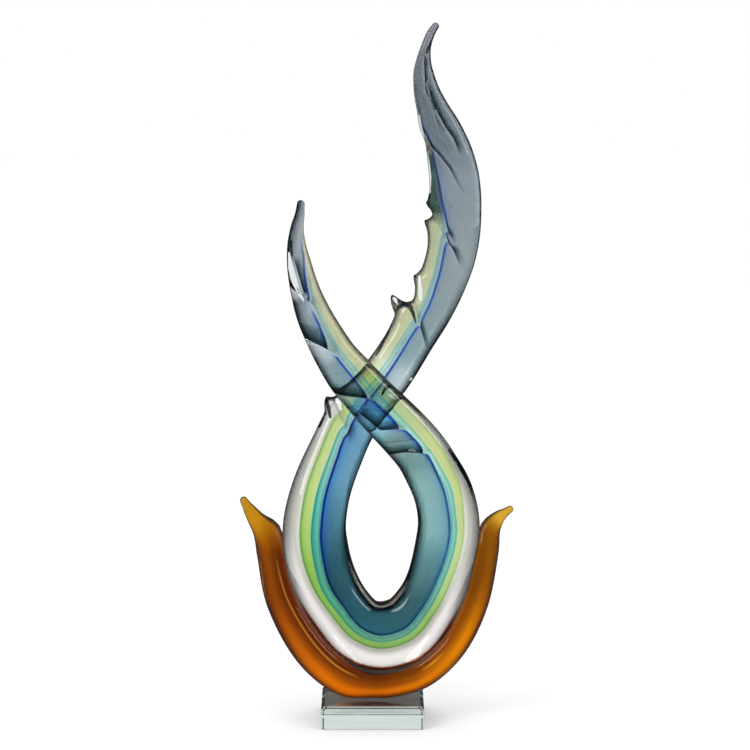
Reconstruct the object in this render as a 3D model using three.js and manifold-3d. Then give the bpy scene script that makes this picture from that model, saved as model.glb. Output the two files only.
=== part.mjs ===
// A hot-worked glass ornament. A bar of cased glass, with its colours laid side by side, is drawn out
// to a point at each end and bent into a loop whose ends cross and rise as two flames. An amber glass
// cradle with two horns holds the loop and is glued to a bevelled crystal block.
// Millimetres, +Z up. The origin is the centre of the block's underside, and the front faces -Y.

import * as THREE from 'three';
import { mergeVertices } from 'three/addons/utils/BufferGeometryUtils.js';
import Module from 'manifold-3d';

const wasm = await Module();
wasm.setup();

// Overall sizes of the worked glass. The rows of the strand and of the cradle give its shape, and are
// drawn out to these two sizes.
const flameTop = 475; // the tall flame's point, above the block
const hornSpan = 188.7; // between the points of the cradle's two horns

// Crystal block: a square slab with its upper edge bevelled and its corners taken off
const blockSide = 72.5;
const blockHeight = 16;
const blockBevel = 2.2;
const blockCorner = 1.2;
const blockArris = 0.6;

// Adhesive film between the block and the flat that is ground on the cradle
const filmThickness = 0.3;
const filmShare = 0.92; // of the ground flat's length and width
const filmSides = 32;

// Clearances between pieces that are fused on the real ornament
const layerClearance = 0.3; // between neighbouring colours
const seatClearance = 0.3; // between the cradle and the clear casing
const crossingClearance = 0.5; // between the front and the back strand where they cross

// The strand's cross-section is a squarish oval, widest in the plane of the loop
const strandPower = 2.4;
const crossingDepth = 20; // front to back of each strand where they cross
const stationStep = 10; // about how far apart the strand's sections are
const tipRings = [0.5, 0.87]; // rounding of a drawn point, as shares of its half width

// Route of the strand, from the tall flame's point down its arm, behind the crossing, round the loop,
// in front of the crossing and up to the short flame's point. Each row is x, height above the block,
// which side of the crossing it lies on (1 is the back, -1 the front), width and depth.
const route = [
  [43.8, 475.0, 0.4, 5.0, 5.6],
  [40.7, 470.2, 0.4, 5.9, 6.4],
  [37.8, 462.6, 0.4, 6.7, 7.0],
  [35.8, 452.8, 0.45, 9.8, 8.5],
  [35.5, 443.0, 0.5, 14.0, 10.0],
  [38.0, 429.0, 0.55, 18.5, 12.0],
  [42.9, 415.2, 0.6, 23.1, 14.0],
  [49.3, 401.2, 0.65, 27.3, 15.5],
  [54.3, 385.0, 0.7, 32.2, 17.0],
  [57.6, 367.5, 0.8, 35.0, 18.5],
  [58.6, 349.8, 0.85, 35.8, 19.5],
  [58.0, 332.2, 0.9, 35.8, 20.0],
  [55.2, 314.5, 0.95, 35.2, 20.0],
  [50.0, 296.8, 1, 33.2, crossingDepth],
  [41.9, 278.3, 1, 31.8, crossingDepth],
  [28.5, 257.0, 1, 32.4, crossingDepth],
  [12.3, 232.1, 1, 34.3, crossingDepth],
  [-6.1, 209.2, 1, 36.0, crossingDepth],
  [-17.5, 191.5, 1, 37.8, crossingDepth],
  [-25.5, 175.5, 0.7, 39.4, 23.0],
  [-36.2, 148.9, 0.25, 42.0, 27.5],
  [-41.2, 123.3, 0, 44.8, 30.5],
  [-39.8, 104.2, 0, 46.2, 32.0],
  [-33.8, 83.2, 0, 45.8, 33.0],
  [-23.0, 64.0, 0, 44.4, 33.5],
  [-9.5, 48.9, 0, 46.2, 34.0],
  [6.0, 44.0, 0, 48.0, 34.0],
  [23.9, 49.4, 0, 47.2, 34.0],
  [37.3, 65.0, 0, 44.4, 33.5],
  [45.0, 80.6, 0, 43.6, 32.5],
  [52.2, 106.4, 0, 45.0, 31.0],
  [53.9, 126.0, 0, 43.8, 29.5],
  [50.0, 146.5, -0.25, 42.0, 27.0],
  [41.6, 164.5, -0.7, 39.6, 23.0],
  [34.2, 177.0, -0.95, 38.2, 20.5],
  [22.4, 190.9, -1, 37.6, crossingDepth],
  [9.1, 204.6, -1, 36.6, crossingDepth],
  [-3.2, 217.7, -1, 34.9, crossingDepth],
  [-15.8, 231.9, -1, 33.2, crossingDepth],
  [-24.9, 244.2, -1, 29.8, crossingDepth],
  [-33.8, 259.4, -0.95, 27.1, 18.5],
  [-41.4, 274.8, -0.85, 24.4, 16.5],
  [-47.1, 290.9, -0.75, 20.8, 14.5],
  [-51.3, 309.0, -0.65, 17.3, 12.0],
  [-53.1, 323.0, -0.6, 13.2, 9.5],
  [-52.8, 334.8, -0.5, 9.4, 7.6],
  [-51.0, 343.9, -0.5, 7.0, 6.4],
  [-50.1, 351.6, -0.5, 5.6, 5.6],
];

// Thickness of the colours, from the outside of the loop inwards, at rows of the route. Each row is
// the row of the route, then the clear, lime, aqua and cobalt glass. The teal core is all the rest.
const veil = 0.9; // the cobalt line between the aqua and the core
const bands = [
  [6, 0, 0, 0, 0],
  [8, 1.6, 0.9, 0, 0],
  [9.5, 2.2, 1.9, 1.2, 0.7],
  [11, 3.0, 4.2, 3.0, veil],
  [13, 3.0, 4.2, 3.4, veil],
  [15, 3.4, 5.0, 4.6, veil],
  [17, 5.0, 6.2, 5.0, veil],
  [18.5, 6.8, 6.9, 4.5, veil],
  [20, 9.5, 7.8, 5.6, veil],
  [21, 11.9, 7.7, 6.1, veil],
  [22, 12.4, 7.1, 6.1, veil],
  [23.4, 13.8, 4.0, 5.7, veil],
  [26, 15.0, 4.4, 4.4, veil],
  [29, 13.2, 4.3, 4.3, veil],
  [30.5, 11.4, 4.5, 4.3, veil],
  [31.2, 10.6, 5.0, 4.3, veil],
  [32.4, 6.4, 6.2, 5.4, veil],
  [33.6, 4.4, 7.5, 6.3, veil],
  [36, 4.2, 6.4, 6.0, veil],
  [38, 3.4, 5.2, 5.2, veil],
  [41, 2.6, 3.6, 3.4, veil],
  [42.5, 2.0, 1.9, 1.4, 0.6],
  [43.5, 1.4, 0.8, 0, 0],
  [44.5, 0.8, 0, 0, 0],
  [46, 0, 0, 0, 0],
];
const thinnest = 0.5; // a colour stops where it is thinner than this
const bareEdge = 0.02; // flat on the core's outer edge past the colours, in half widths
const arch = 2; // how far the seams between colours bow outwards at mid-depth
const archShare = 0.3; // of a seam's distance from the outside, where that is less

// Creases that the pincers leave across the core, each starting at a leaf's lip. Each row is the row of
// the route, the crease's angle to the strand in degrees, and the faces that have it. The pincers grip
// both faces alike. Where the strands cross, only the face that they reach has any.
const front = -1;
const back = 1;
const creaseRadius = 7;
const creaseBite = 1.3;
const creaseLength = 2.6; // of the tool that cuts it, in half widths of the strand
const creases = [
  [5.4, 6, [front, back]],
  [8.3, 23, [front, back]],
  [10.7, 36, [front, back]],
  [11.7, 41, [front, back]],
  [14.7, 60, [front, back]],
  [16.6, 50, [back]],
  [34.3, 52, [front]],
  [35.9, 30, [front]],
  [37.4, 40, [front]],
  [39.8, 33, [front, back]],
  [41.6, 28, [front, back]],
];

// Leaves: where the pincers gripped, the strand's outer edge swells out to a lip and drops back where
// the next leaf begins. Each row is the row of the route and how far the edge lies outside the oval.
const leafGap = 0.12; // rows closer together than this share a section
const leaves = [
  [5.6, 0],
  [6.5, 1.5],
  [7.3, 0.2],
  [9.2, 0.4],
  [9.9, 2.2],
  [10.4, -1.2],
  [10.75, 3.0],
  [11.4, 0.8],
  [12, -0.2],
  [12.8, 0.6],
  [13.3, 3.4],
  [13.7, 0.4],
  [14.1, -1.8],
  [14.55, 5.0],
  [14.9, 2.2],
  [15.4, 0.5],
  [16.4, 0],
  [17.2, 0.4],
  [17.6, 4.6],
  [18, 1.0],
  [19, 0],
];

// Spurs pulled from the lips while they were soft. Each row is the row of the route, how far the
// spur stands out, its radius at the foot and how far its tip leans along the strand.
const spurSeat = 1.2; // how deep a spur's foot sits in the casing
const spurShape = [[0, 1], [0.3, 0.8], [0.65, 0.52], [0.94, 0.3], [1, 0.14]]; // reach, radius
const spurs = [
  [9.95, 3.1, 2.4, -0.8],
  [10.8, 4.1, 2.6, -1.4],
  [13.35, 4.5, 2.6, -1.6],
  [14.5, 12.6, 4.4, -3.4],
  [17.6, 6.2, 3.4, -2.0],
];

// Cradle: an amber bar bent round the foot of the loop, with both ends drawn out to horns. Each row
// is x, height over the underside, width and depth of the bar before it is ground and bedded.
const cradlePower = 2.1; // of its round outer half
const bedPower = 4.5; // of its inner half, squarer, so that it reaches the loop without a groove
const cradleStep = 9;
const groundOff = 1.1; // glass ground off under the cradle to make its flat
const cradleRoute = [
  [-91.3, 142.1, 5.4, 6.0],
  [-87.1, 135.1, 8.8, 11.0],
  [-81.8, 127.3, 12.6, 18.0],
  [-74.4, 117.5, 20.2, 25.0],
  [-72.0, 104.0, 20.4, 30.0],
  [-64.0, 70.2, 23.6, 35.0],
  [-41.8, 32.6, 26.8, 37.0],
  [-19.1, 14.7, 27.4, 38.0],
  [2.0, 11.0, 22.2, 38.0],
  [20.0, 12.9, 22.2, 38.0],
  [36.6, 19.1, 22.0, 37.0],
  [57.1, 38.2, 20.8, 35.0],
  [72.6, 68.7, 19.4, 33.0],
  [81.2, 106.5, 16.8, 28.0],
  [83.5, 121.4, 14.6, 20.5],
  [89.2, 129.7, 9.4, 13.0],
  [97.4, 135.8, 4.8, 5.5],
];

// Points round each section
const seamPoints = 2; // between the two ends of a seam
const outsidePoints = 7;
const insidePoints = 11;
const cradlePoints = 16;
const spurSides = 8;
const creaseSides = 20;

const glassHeight = blockHeight + filmThickness;
const crossingShift = (crossingDepth + crossingClearance) / 2;

// The rows drawn out to the overall sizes
const rise = flameTop / Math.max(...route.map((row) => row[1]));
const spread = hornSpan / (cradleRoute[cradleRoute.length - 1][0] - cradleRoute[0][0]);
const strandRows = drawnOut(route);
const cradleRows = drawnOut(cradleRoute);

function drawnOut(rows) {
  return rows.map(([x, height, ...rest]) => [x * spread, height * rise, ...rest]);
}

// Rows of numbers read between their keys, by a curve that passes through them without a kink
function along(rows, key) {
  const last = rows.length - 1;
  let i = 0;
  while (i < last - 1 && key > rows[i + 1][0]) i += 1;
  const [a, b] = [rows[i], rows[i + 1]];
  const span = b[0] - a[0];
  const t = THREE.MathUtils.clamp((key - a[0]) / span, 0, 1);
  const before = rows[Math.max(i - 1, 0)];
  const after = rows[Math.min(i + 2, last)];
  return a.slice(1).map((value, k) => {
    const c = k + 1;
    const rise = b[c] - value;
    const slopeIn = slope(value - before[c], a[0] - before[0], rise, span);
    const slopeOut = slope(rise, span, after[c] - b[c], after[0] - b[0]);
    const cubic = (slopeIn + slopeOut) * span - 2 * rise;
    const square = rise - slopeIn * span - cubic;
    return value + t * (slopeIn * span + t * (square + t * cubic));
  });
}

// Slope at a row between two neighbours: none at a peak, so that nothing swings past it
function slope(riseBefore, runBefore, riseAfter, runAfter) {
  if (runBefore === 0 || runAfter === 0) return 0;
  const before = riseBefore / runBefore;
  const after = riseAfter / runAfter;
  return before * after > 0 ? (2 * before * after) / (before + after) : 0;
}

// A smooth line through the rows' first two numbers, as x and height, with y from the third function
function centreline(rows, shift) {
  const points = rows.map((row) => new THREE.Vector3(row[0], shift(row), row[1]));
  return new THREE.CatmullRomCurve3(points, false, 'centripetal');
}

// Sections along a line, about one step apart: where they are, which way is out, and their sizes
function stationsOn(rows, line, step, first, extra = []) {
  const sizes = rows.map((row, i) => [i, ...row.slice(first)]);
  const keys = [];
  rows.slice(1).forEach((row, i) => {
    const run = Math.hypot(row[0] - rows[i][0], row[1] - rows[i][1]);
    const count = Math.max(1, Math.round(run / step));
    for (let k = 0; k < count; k += 1) keys.push(i + k / count);
  });
  keys.push(rows.length - 1);
  extra.forEach((key) => {
    if (keys.every((other) => Math.abs(other - key) > leafGap)) keys.push(key);
  });
  keys.sort((a, b) => a - b);
  return keys.map((key) => {
    const t = key / (rows.length - 1);
    const way = line.getTangent(t).setY(0).normalize();
    const [width, depth] = along(sizes, key);
    return {
      key,
      centre: line.getPoint(t),
      way,
      out: new THREE.Vector3(way.z, 0, -way.x),
      halfWidth: width / 2,
      halfDepth: depth / 2,
    };
  });
}

// Half the depth of an oval section at a distance in from its outer edge
function halfDepthAt(station, inset, power) {
  const u = Math.min(Math.abs(inset / station.halfWidth - 1), 1);
  return station.halfDepth * (1 - u ** power) ** (1 / power);
}

// Points on an oval section, from one inset to another, on the front (side -1) or the back (side 1)
function ovalPoints(station, from, to, side, count, power) {
  const angle = (inset) => {
    const u = THREE.MathUtils.clamp(inset / station.halfWidth - 1, -1, 1);
    return Math.acos(-Math.sign(u) * Math.abs(u) ** (power / 2));
  };
  const [start, end] = [angle(from), angle(to)];
  const points = [];
  for (let i = 0; i < count; i += 1) {
    const a = start + ((end - start) * (i + 1)) / (count + 1);
    const u = -Math.sign(Math.cos(a)) * Math.abs(Math.cos(a)) ** (2 / power);
    const v = Math.abs(Math.sin(a)) ** (2 / power);
    points.push([station.halfWidth * (1 + u), side * station.halfDepth * v]);
  }
  return points;
}

// A section's point in space, from its inset and its distance behind the middle
function place(station, [inset, back]) {
  return station.centre
    .clone()
    .addScaledVector(station.out, station.halfWidth - inset)
    .add(new THREE.Vector3(0, back, 0));
}

// A seam between two colours, from its front end to its back end, both on the oval's surface
function seam(station, inset) {
  const half = halfDepthAt(station, inset, strandPower);
  const bow = Math.min(arch, inset * archShare);
  const points = [];
  for (let i = 0; i <= seamPoints + 1; i += 1) {
    const v = (2 * i) / (seamPoints + 1) - 1;
    points.push([inset - bow * (1 - v * v), v * half]);
  }
  return points;
}

// Round the outside of the strand, from the back at one inset to the front, swollen to a leaf's lip
function outside(station, inset) {
  const half = (outsidePoints - 1) / 2;
  const back = ovalPoints(station, inset, 0, 1, half, strandPower);
  const front = ovalPoints(station, 0, inset, -1, half, strandPower);
  const [lip] = along(leaves, station.key);
  return [...back, [0, 0], ...front].map(([at, depth]) => [at - lip * (1 - at / inset), depth]);
}

// Round the inside of the strand, from the back at one inset to the front
function inside(station, inset) {
  const edge = 2 * station.halfWidth;
  const half = (insidePoints - 1) / 2;
  const back = ovalPoints(station, inset, edge, 1, half, strandPower);
  const front = ovalPoints(station, edge, inset, -1, half, strandPower);
  return [...back, [edge, 0], ...front];
}

// A closed body through rings of points, with flat ends
function loft(rings) {
  const count = rings[0].length;
  const positions = rings.flat().flatMap((p) => [p.x, p.y, p.z]);
  const index = [];
  for (let r = 0; r < rings.length - 1; r += 1) {
    for (let i = 0; i < count; i += 1) {
      const [a, b] = [r * count + i, r * count + ((i + 1) % count)];
      index.push(a, b, a + count, b, b + count, a + count);
    }
  }
  const last = (rings.length - 1) * count;
  endFaces(rings[0]).forEach(([a, b, c]) => index.push(c, b, a));
  endFaces(rings[rings.length - 1]).forEach((face) => index.push(...face.map((i) => i + last)));
  const geometry = new THREE.BufferGeometry();
  geometry.setAttribute('position', new THREE.Float32BufferAttribute(positions, 3));
  geometry.setIndex(index);
  return facingOut(geometry);
}

// Triangles that fill a flat ring, turned the way that its points go round
function endFaces(ring) {
  const facing = new THREE.Vector3();
  ring.forEach((point, i) => {
    facing.add(point.clone().cross(ring[(i + 1) % ring.length]));
  });
  const turn = new THREE.Quaternion();
  turn.setFromUnitVectors(facing.normalize(), new THREE.Vector3(0, 0, 1));
  const flat = ring.map((point) => {
    const turned = point.clone().applyQuaternion(turn);
    return new THREE.Vector2(turned.x, turned.y);
  });
  return THREE.ShapeUtils.triangulateShape(flat, []);
}

// Turns every face of a closed body over if it encloses less than nothing
function facingOut(geometry) {
  const position = geometry.getAttribute('position');
  const index = geometry.getIndex().array;
  const [a, b, c] = [new THREE.Vector3(), new THREE.Vector3(), new THREE.Vector3()];
  let volume = 0;
  for (let i = 0; i < index.length; i += 3) {
    a.fromBufferAttribute(position, index[i]);
    b.fromBufferAttribute(position, index[i + 1]);
    c.fromBufferAttribute(position, index[i + 2]);
    volume += a.dot(b.cross(c));
  }
  if (volume < 0) {
    for (let i = 0; i < index.length; i += 3) {
      [index[i], index[i + 1]] = [index[i + 1], index[i]];
    }
  }
  return geometry;
}

// A body that can be cut or joined
function solid(geometry) {
  const plain = geometry.clone();
  plain.deleteAttribute('normal');
  plain.deleteAttribute('uv');
  const merged = mergeVertices(plain);
  return new wasm.Manifold(
    new wasm.Mesh({
      numProp: 3,
      vertProperties: new Float32Array(merged.getAttribute('position').array),
      triVerts: new Uint32Array(merged.getIndex().array),
    }),
  );
}

// The mesh of a body that was cut or joined
function surface(body) {
  const mesh = body.getMesh();
  const geometry = new THREE.BufferGeometry();
  geometry.setAttribute('position', new THREE.Float32BufferAttribute(mesh.vertProperties, 3));
  geometry.setIndex([...mesh.triVerts]);
  return geometry;
}

// Rings that round off a drawn end, past the last section
function roundedEnd(station, ring, sign) {
  return tipRings.map((share) => {
    const shrink = Math.sqrt(1 - share * share);
    const push = station.way.clone().multiplyScalar(sign * share * station.halfWidth);
    return ring.map((p) => p.clone().sub(station.centre).multiplyScalar(shrink).add(station.centre).add(push));
  });
}

// Insets of the four seams at a station, and which colours are thick enough to be there
function seamsAt(station) {
  const thickness = along(bands, station.key).map((value) => Math.max(value, 0));
  let inset = 0;
  const insets = thickness.map((value) => {
    const share = Math.min(1, value / thinnest);
    const from = inset;
    inset += value + layerClearance * share;
    return { from, to: from + value, there: value >= thinnest };
  });
  return { insets, core: Math.max(inset, bareEdge * station.halfWidth) };
}

// One band of colour between two seams
function bandGeometry(stations, layer) {
  const rings = [];
  stations.forEach((station) => {
    const { from, to, there } = seamsAt(station).insets[layer];
    if (!there) return;
    const ring = [...seam(station, to), ...seam(station, from).reverse()];
    rings.push(ring.map((p) => place(station, p)));
  });
  return loft(rings);
}

// The clear casing, outermost, with its spurs
function casingGeometry(stations, line) {
  const rings = [];
  stations.forEach((station) => {
    const { to, there } = seamsAt(station).insets[0];
    if (!there) return;
    rings.push([...seam(station, to), ...outside(station, to)].map((p) => place(station, p)));
  });
  const body = spurs.reduce(
    (joined, row) => joined.add(solid(spurGeometry(line, row))),
    solid(loft(rings)),
  );
  return surface(body);
}

// A spur, leaning along the strand and drawn out to a rounded end
function spurGeometry(line, [key, reach, radius, lean]) {
  const station = stationAt(line, key);
  const foot = station.centre.clone().addScaledVector(station.out, station.halfWidth - spurSeat);
  const rings = spurShape.map(([share, size]) => {
    const middle = foot
      .clone()
      .addScaledVector(station.out, share * (reach + spurSeat))
      .addScaledVector(station.way, share * share * lean);
    return circle(middle, station.way, new THREE.Vector3(0, 1, 0), size * radius);
  });
  return loft(rings);
}

function circle(middle, across, up, radius) {
  const points = [];
  for (let i = 0; i < spurSides; i += 1) {
    const angle = (i / spurSides) * 2 * Math.PI;
    points.push(
      middle
        .clone()
        .addScaledVector(across, radius * Math.cos(angle))
        .addScaledVector(up, radius * Math.sin(angle)),
    );
  }
  return points;
}

// The section at one key of the strand's route
function stationAt(line, key) {
  const t = key / (strandRows.length - 1);
  const way = line.getTangent(t).setY(0).normalize();
  const sizes = strandRows.map((row, i) => [i, row[3], row[4]]);
  const [width, depth] = along(sizes, key);
  const out = new THREE.Vector3(way.z, 0, -way.x);
  return { key, centre: line.getPoint(t), way, out, halfWidth: width / 2, halfDepth: depth / 2 };
}

// The teal core, which also makes both points, with its creases
function coreGeometry(stations, line) {
  const rings = stations.map((station) => {
    const inset = seamsAt(station).core;
    return [...seam(station, inset), ...inside(station, inset)].map((p) => place(station, p));
  });
  const [first, last] = [stations[0], stations[stations.length - 1]];
  const start = roundedEnd(first, rings[0], -1).reverse();
  const end = roundedEnd(last, rings[rings.length - 1], 1);
  let body = solid(loft([...start, ...rings, ...end]));
  creases.forEach(([key, angle, sides]) => {
    sides.forEach((side) => {
      body = body.subtract(solid(creaseTool(stationAt(line, key), angle, side)));
    });
  });
  return surface(body);
}

// A round tool laid across the strand's front or back face
function creaseTool(station, angle, side) {
  const length = creaseLength * station.halfWidth;
  const tool = new THREE.CylinderGeometry(creaseRadius, creaseRadius, length, creaseSides);
  const slant = THREE.MathUtils.degToRad(-angle);
  const axis = station.way.clone().applyAxisAngle(new THREE.Vector3(0, 1, 0), slant);
  const turn = new THREE.Quaternion().setFromUnitVectors(new THREE.Vector3(0, 1, 0), axis);
  const away = side * (station.halfDepth + creaseRadius - creaseBite);
  tool.applyQuaternion(turn);
  tool.translate(station.centre.x, station.centre.y + away, station.centre.z);
  return tool;
}

// The amber bar, with the loop's bed and the ground flat cut from it
function cradleGeometry(strand) {
  const ground = cradleRows.map(([x, height, ...sizes]) => [x, height - groundOff, ...sizes]);
  const line = centreline(ground, () => 0);
  const stations = stationsOn(ground, line, cradleStep, 2);
  const rings = stations.map((station) => {
    const { halfWidth: middle, halfDepth } = station;
    const quarter = cradlePoints / 4 - 1;
    const front = [
      [0, 0],
      ...ovalPoints(station, 0, middle, -1, quarter, cradlePower),
      [middle, -halfDepth],
      ...ovalPoints(station, middle, 2 * middle, -1, quarter, bedPower),
    ];
    const back = front.slice(1).map(([inset, depth]) => [inset, -depth]);
    return [...front, [2 * middle, 0], ...back.reverse()].map((p) => place(station, p));
  });
  const [first, last] = [stations[0], stations[stations.length - 1]];
  const start = roundedEnd(first, rings[0], -1).reverse();
  const end = roundedEnd(last, rings[rings.length - 1], 1);
  const grinder = new THREE.BoxGeometry(4 * blockSide, 4 * blockSide, 2 * blockHeight);
  grinder.translate(0, 0, -blockHeight);
  return surface(
    solid(loft([...start, ...rings, ...end])).subtract(solid(bedGeometry(strand))).subtract(solid(grinder)),
  );
}

// The room that the loop takes up in the cradle: its own outside, grown by the seat's clearance
function bedGeometry(strand) {
  const reach = Math.max(...cradleRows.map((row) => row[1] + row[2]));
  const bedded = strand.filter(({ centre }) => centre.z < reach);
  const rings = bedded.map((station) => {
    const grown = {
      ...station,
      halfWidth: station.halfWidth + seatClearance,
      halfDepth: station.halfDepth + seatClearance,
    };
    const inset = seamsAt(station).insets[0].to;
    return [...outside(grown, inset), ...inside(grown, inset).reverse()].map((p) => place(grown, p));
  });
  return loft(rings);
}

// The adhesive film, an oval that fills most of the ground flat
function filmGeometry(cradle) {
  cradle.computeBoundingBox();
  const position = cradle.getAttribute('position');
  const flat = new THREE.Box3();
  const point = new THREE.Vector3();
  for (let i = 0; i < position.count; i += 1) {
    point.fromBufferAttribute(position, i);
    if (point.z < cradle.boundingBox.min.z + 0.001) flat.expandByPoint(point);
  }
  const size = flat.getSize(new THREE.Vector3()).multiplyScalar(filmShare / 2);
  const middle = flat.getCenter(new THREE.Vector3());
  const outline = new THREE.Shape();
  outline.absellipse(middle.x, middle.y, size.x, size.y, 0, 2 * Math.PI);
  return new THREE.ExtrudeGeometry(outline, {
    depth: filmThickness,
    bevelEnabled: false,
    curveSegments: filmSides,
  });
}

// The block: eight-sided rings, drawn in at the top for the bevel and a little at the bottom
function blockGeometry() {
  const levels = [
    [0, blockArris],
    [blockArris, 0],
    [blockHeight - blockBevel, 0],
    [blockHeight, blockBevel],
  ];
  const rings = levels.map(([height, inset]) => {
    const half = blockSide / 2 - inset;
    const flat = half - blockCorner;
    const corners = [[half, flat], [flat, half], [-flat, half], [-half, flat]];
    const opposite = corners.map(([x, y]) => [-x, -y]);
    return [...corners, ...opposite].map(([x, y]) => new THREE.Vector3(x, y, height));
  });
  return loft(rings);
}

function glass(name, geometry, color) {
  const material = new THREE.MeshStandardMaterial({ color, roughness: 0.05, metalness: 0 });
  const mesh = new THREE.Mesh(geometry, material);
  mesh.name = name;
  return mesh;
}

const strandLine = centreline(strandRows, (row) => row[2] * crossingShift);
const leafKeys = leaves.map(([key]) => key);
const strandStations = stationsOn(strandRows, strandLine, stationStep, 3, leafKeys);

const worked = new THREE.Group();
worked.position.z = glassHeight;
const cradleMesh = glass('amber_cradle', cradleGeometry(strandStations), 0x9a4a08);
worked.add(
  cradleMesh,
  glass('clear_casing', casingGeometry(strandStations, strandLine), 0xe9e8e4),
  glass('lime_layer', bandGeometry(strandStations, 1), 0xa6c66b),
  glass('aqua_layer', bandGeometry(strandStations, 2), 0x6fb7a4),
  glass('cobalt_veil', bandGeometry(strandStations, 3), 0x1746a8),
  glass('teal_core', coreGeometry(strandStations, strandLine), 0x4a828c),
);

const film = glass('glue_film', filmGeometry(cradleMesh.geometry), 0xe6e6dc);
film.position.z = blockHeight;

const sculpture = new THREE.Group();
sculpture.add(glass('base_block', blockGeometry(), 0xd3dfdb), film, worked);

export default sculpture;
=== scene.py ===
"""A hot-worked glass ornament: a striped bar bent into a loop with two flames, in an amber cradle on a
crystal block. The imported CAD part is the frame, and every piece here is in its metres and its axes."""

import math

import bmesh
import bpy
from bpy.props import FloatProperty, FloatVectorProperty, IntProperty, PointerProperty
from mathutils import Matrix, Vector
from mathutils.kdtree import KDTree


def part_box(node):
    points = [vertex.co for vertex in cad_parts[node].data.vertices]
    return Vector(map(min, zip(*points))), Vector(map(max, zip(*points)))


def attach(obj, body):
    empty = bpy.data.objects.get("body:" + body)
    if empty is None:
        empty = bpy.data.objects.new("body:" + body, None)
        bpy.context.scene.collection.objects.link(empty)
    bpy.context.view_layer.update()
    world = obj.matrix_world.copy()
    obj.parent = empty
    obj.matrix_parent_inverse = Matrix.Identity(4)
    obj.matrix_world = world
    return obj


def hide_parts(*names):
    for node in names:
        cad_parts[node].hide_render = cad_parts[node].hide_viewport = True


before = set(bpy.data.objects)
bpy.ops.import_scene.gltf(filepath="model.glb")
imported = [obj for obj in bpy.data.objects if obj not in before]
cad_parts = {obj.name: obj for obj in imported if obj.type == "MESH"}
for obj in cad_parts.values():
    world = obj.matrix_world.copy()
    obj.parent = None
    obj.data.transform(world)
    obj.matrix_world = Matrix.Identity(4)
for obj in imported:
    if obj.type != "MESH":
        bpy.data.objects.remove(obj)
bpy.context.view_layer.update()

bl_info = {
    "name": "Glass flame ornament",
    "version": (1, 0, 0),
    "blender": (4, 5, 0),
    "location": "3D View > Sidebar > Ornament",
    "description": "Builds the finish of a striped glass ornament round its CAD frame",
    "category": "Add Mesh",
}

MM = 0.001

# The worked glass stands on the block and the adhesive film
GLASS_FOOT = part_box("glue_film")[1].z

# Route of the strand, from the tall flame's point round the loop to the short flame's point. Each row
# is x, height above the film, side of the crossing (1 back, -1 front), width and depth, in millimetres.
CROSSING_DEPTH = 20
CROSSING_SHIFT = 10.25
ROUTE = [
    (43.8, 475.0, 0.4, 5.0, 5.6),
    (40.7, 470.2, 0.4, 5.9, 6.4),
    (37.8, 462.6, 0.4, 6.7, 7.0),
    (35.8, 452.8, 0.45, 9.8, 8.5),
    (35.5, 443.0, 0.5, 14.0, 10.0),
    (38.0, 429.0, 0.55, 18.5, 12.0),
    (42.9, 415.2, 0.6, 23.1, 14.0),
    (49.3, 401.2, 0.65, 27.3, 15.5),
    (54.3, 385.0, 0.7, 32.2, 17.0),
    (57.6, 367.5, 0.8, 35.0, 18.5),
    (58.6, 349.8, 0.85, 35.8, 19.5),
    (58.0, 332.2, 0.9, 35.8, 20.0),
    (55.2, 314.5, 0.95, 35.2, 20.0),
    (50.0, 296.8, 1, 33.2, CROSSING_DEPTH),
    (41.9, 278.3, 1, 31.8, CROSSING_DEPTH),
    (28.5, 257.0, 1, 32.4, CROSSING_DEPTH),
    (12.3, 232.1, 1, 34.3, CROSSING_DEPTH),
    (-6.1, 209.2, 1, 36.0, CROSSING_DEPTH),
    (-17.5, 191.5, 1, 37.8, CROSSING_DEPTH),
    (-25.5, 175.5, 0.7, 39.4, 23.0),
    (-36.2, 148.9, 0.25, 42.0, 27.5),
    (-41.2, 123.3, 0, 44.8, 30.5),
    (-39.8, 104.2, 0, 46.2, 32.0),
    (-33.8, 83.2, 0, 45.8, 33.0),
    (-23.0, 64.0, 0, 44.4, 33.5),
    (-9.5, 48.9, 0, 46.2, 34.0),
    (6.0, 44.0, 0, 48.0, 34.0),
    (23.9, 49.4, 0, 47.2, 34.0),
    (37.3, 65.0, 0, 44.4, 33.5),
    (45.0, 80.6, 0, 43.6, 32.5),
    (52.2, 106.4, 0, 45.0, 31.0),
    (53.9, 126.0, 0, 43.8, 29.5),
    (50.0, 146.5, -0.25, 42.0, 27.0),
    (41.6, 164.5, -0.7, 39.6, 23.0),
    (34.2, 177.0, -0.95, 38.2, 20.5),
    (22.4, 190.9, -1, 37.6, CROSSING_DEPTH),
    (9.1, 204.6, -1, 36.6, CROSSING_DEPTH),
    (-3.2, 217.7, -1, 34.9, CROSSING_DEPTH),
    (-15.8, 231.9, -1, 33.2, CROSSING_DEPTH),
    (-24.9, 244.2, -1, 29.8, CROSSING_DEPTH),
    (-33.8, 259.4, -0.95, 27.1, 18.5),
    (-41.4, 274.8, -0.85, 24.4, 16.5),
    (-47.1, 290.9, -0.75, 20.8, 14.5),
    (-51.3, 309.0, -0.65, 17.3, 12.0),
    (-53.1, 323.0, -0.6, 13.2, 9.5),
    (-52.8, 334.8, -0.5, 9.4, 7.6),
    (-51.0, 343.9, -0.5, 7.0, 6.4),
    (-50.1, 351.6, -0.5, 5.6, 5.6),
]
STRAND_POWER = 2.4

# The rows between which the strand is the loop, and outside which it is the two arms with their folds
ARMS_END, ARMS_START = 19, 32.5

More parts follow.
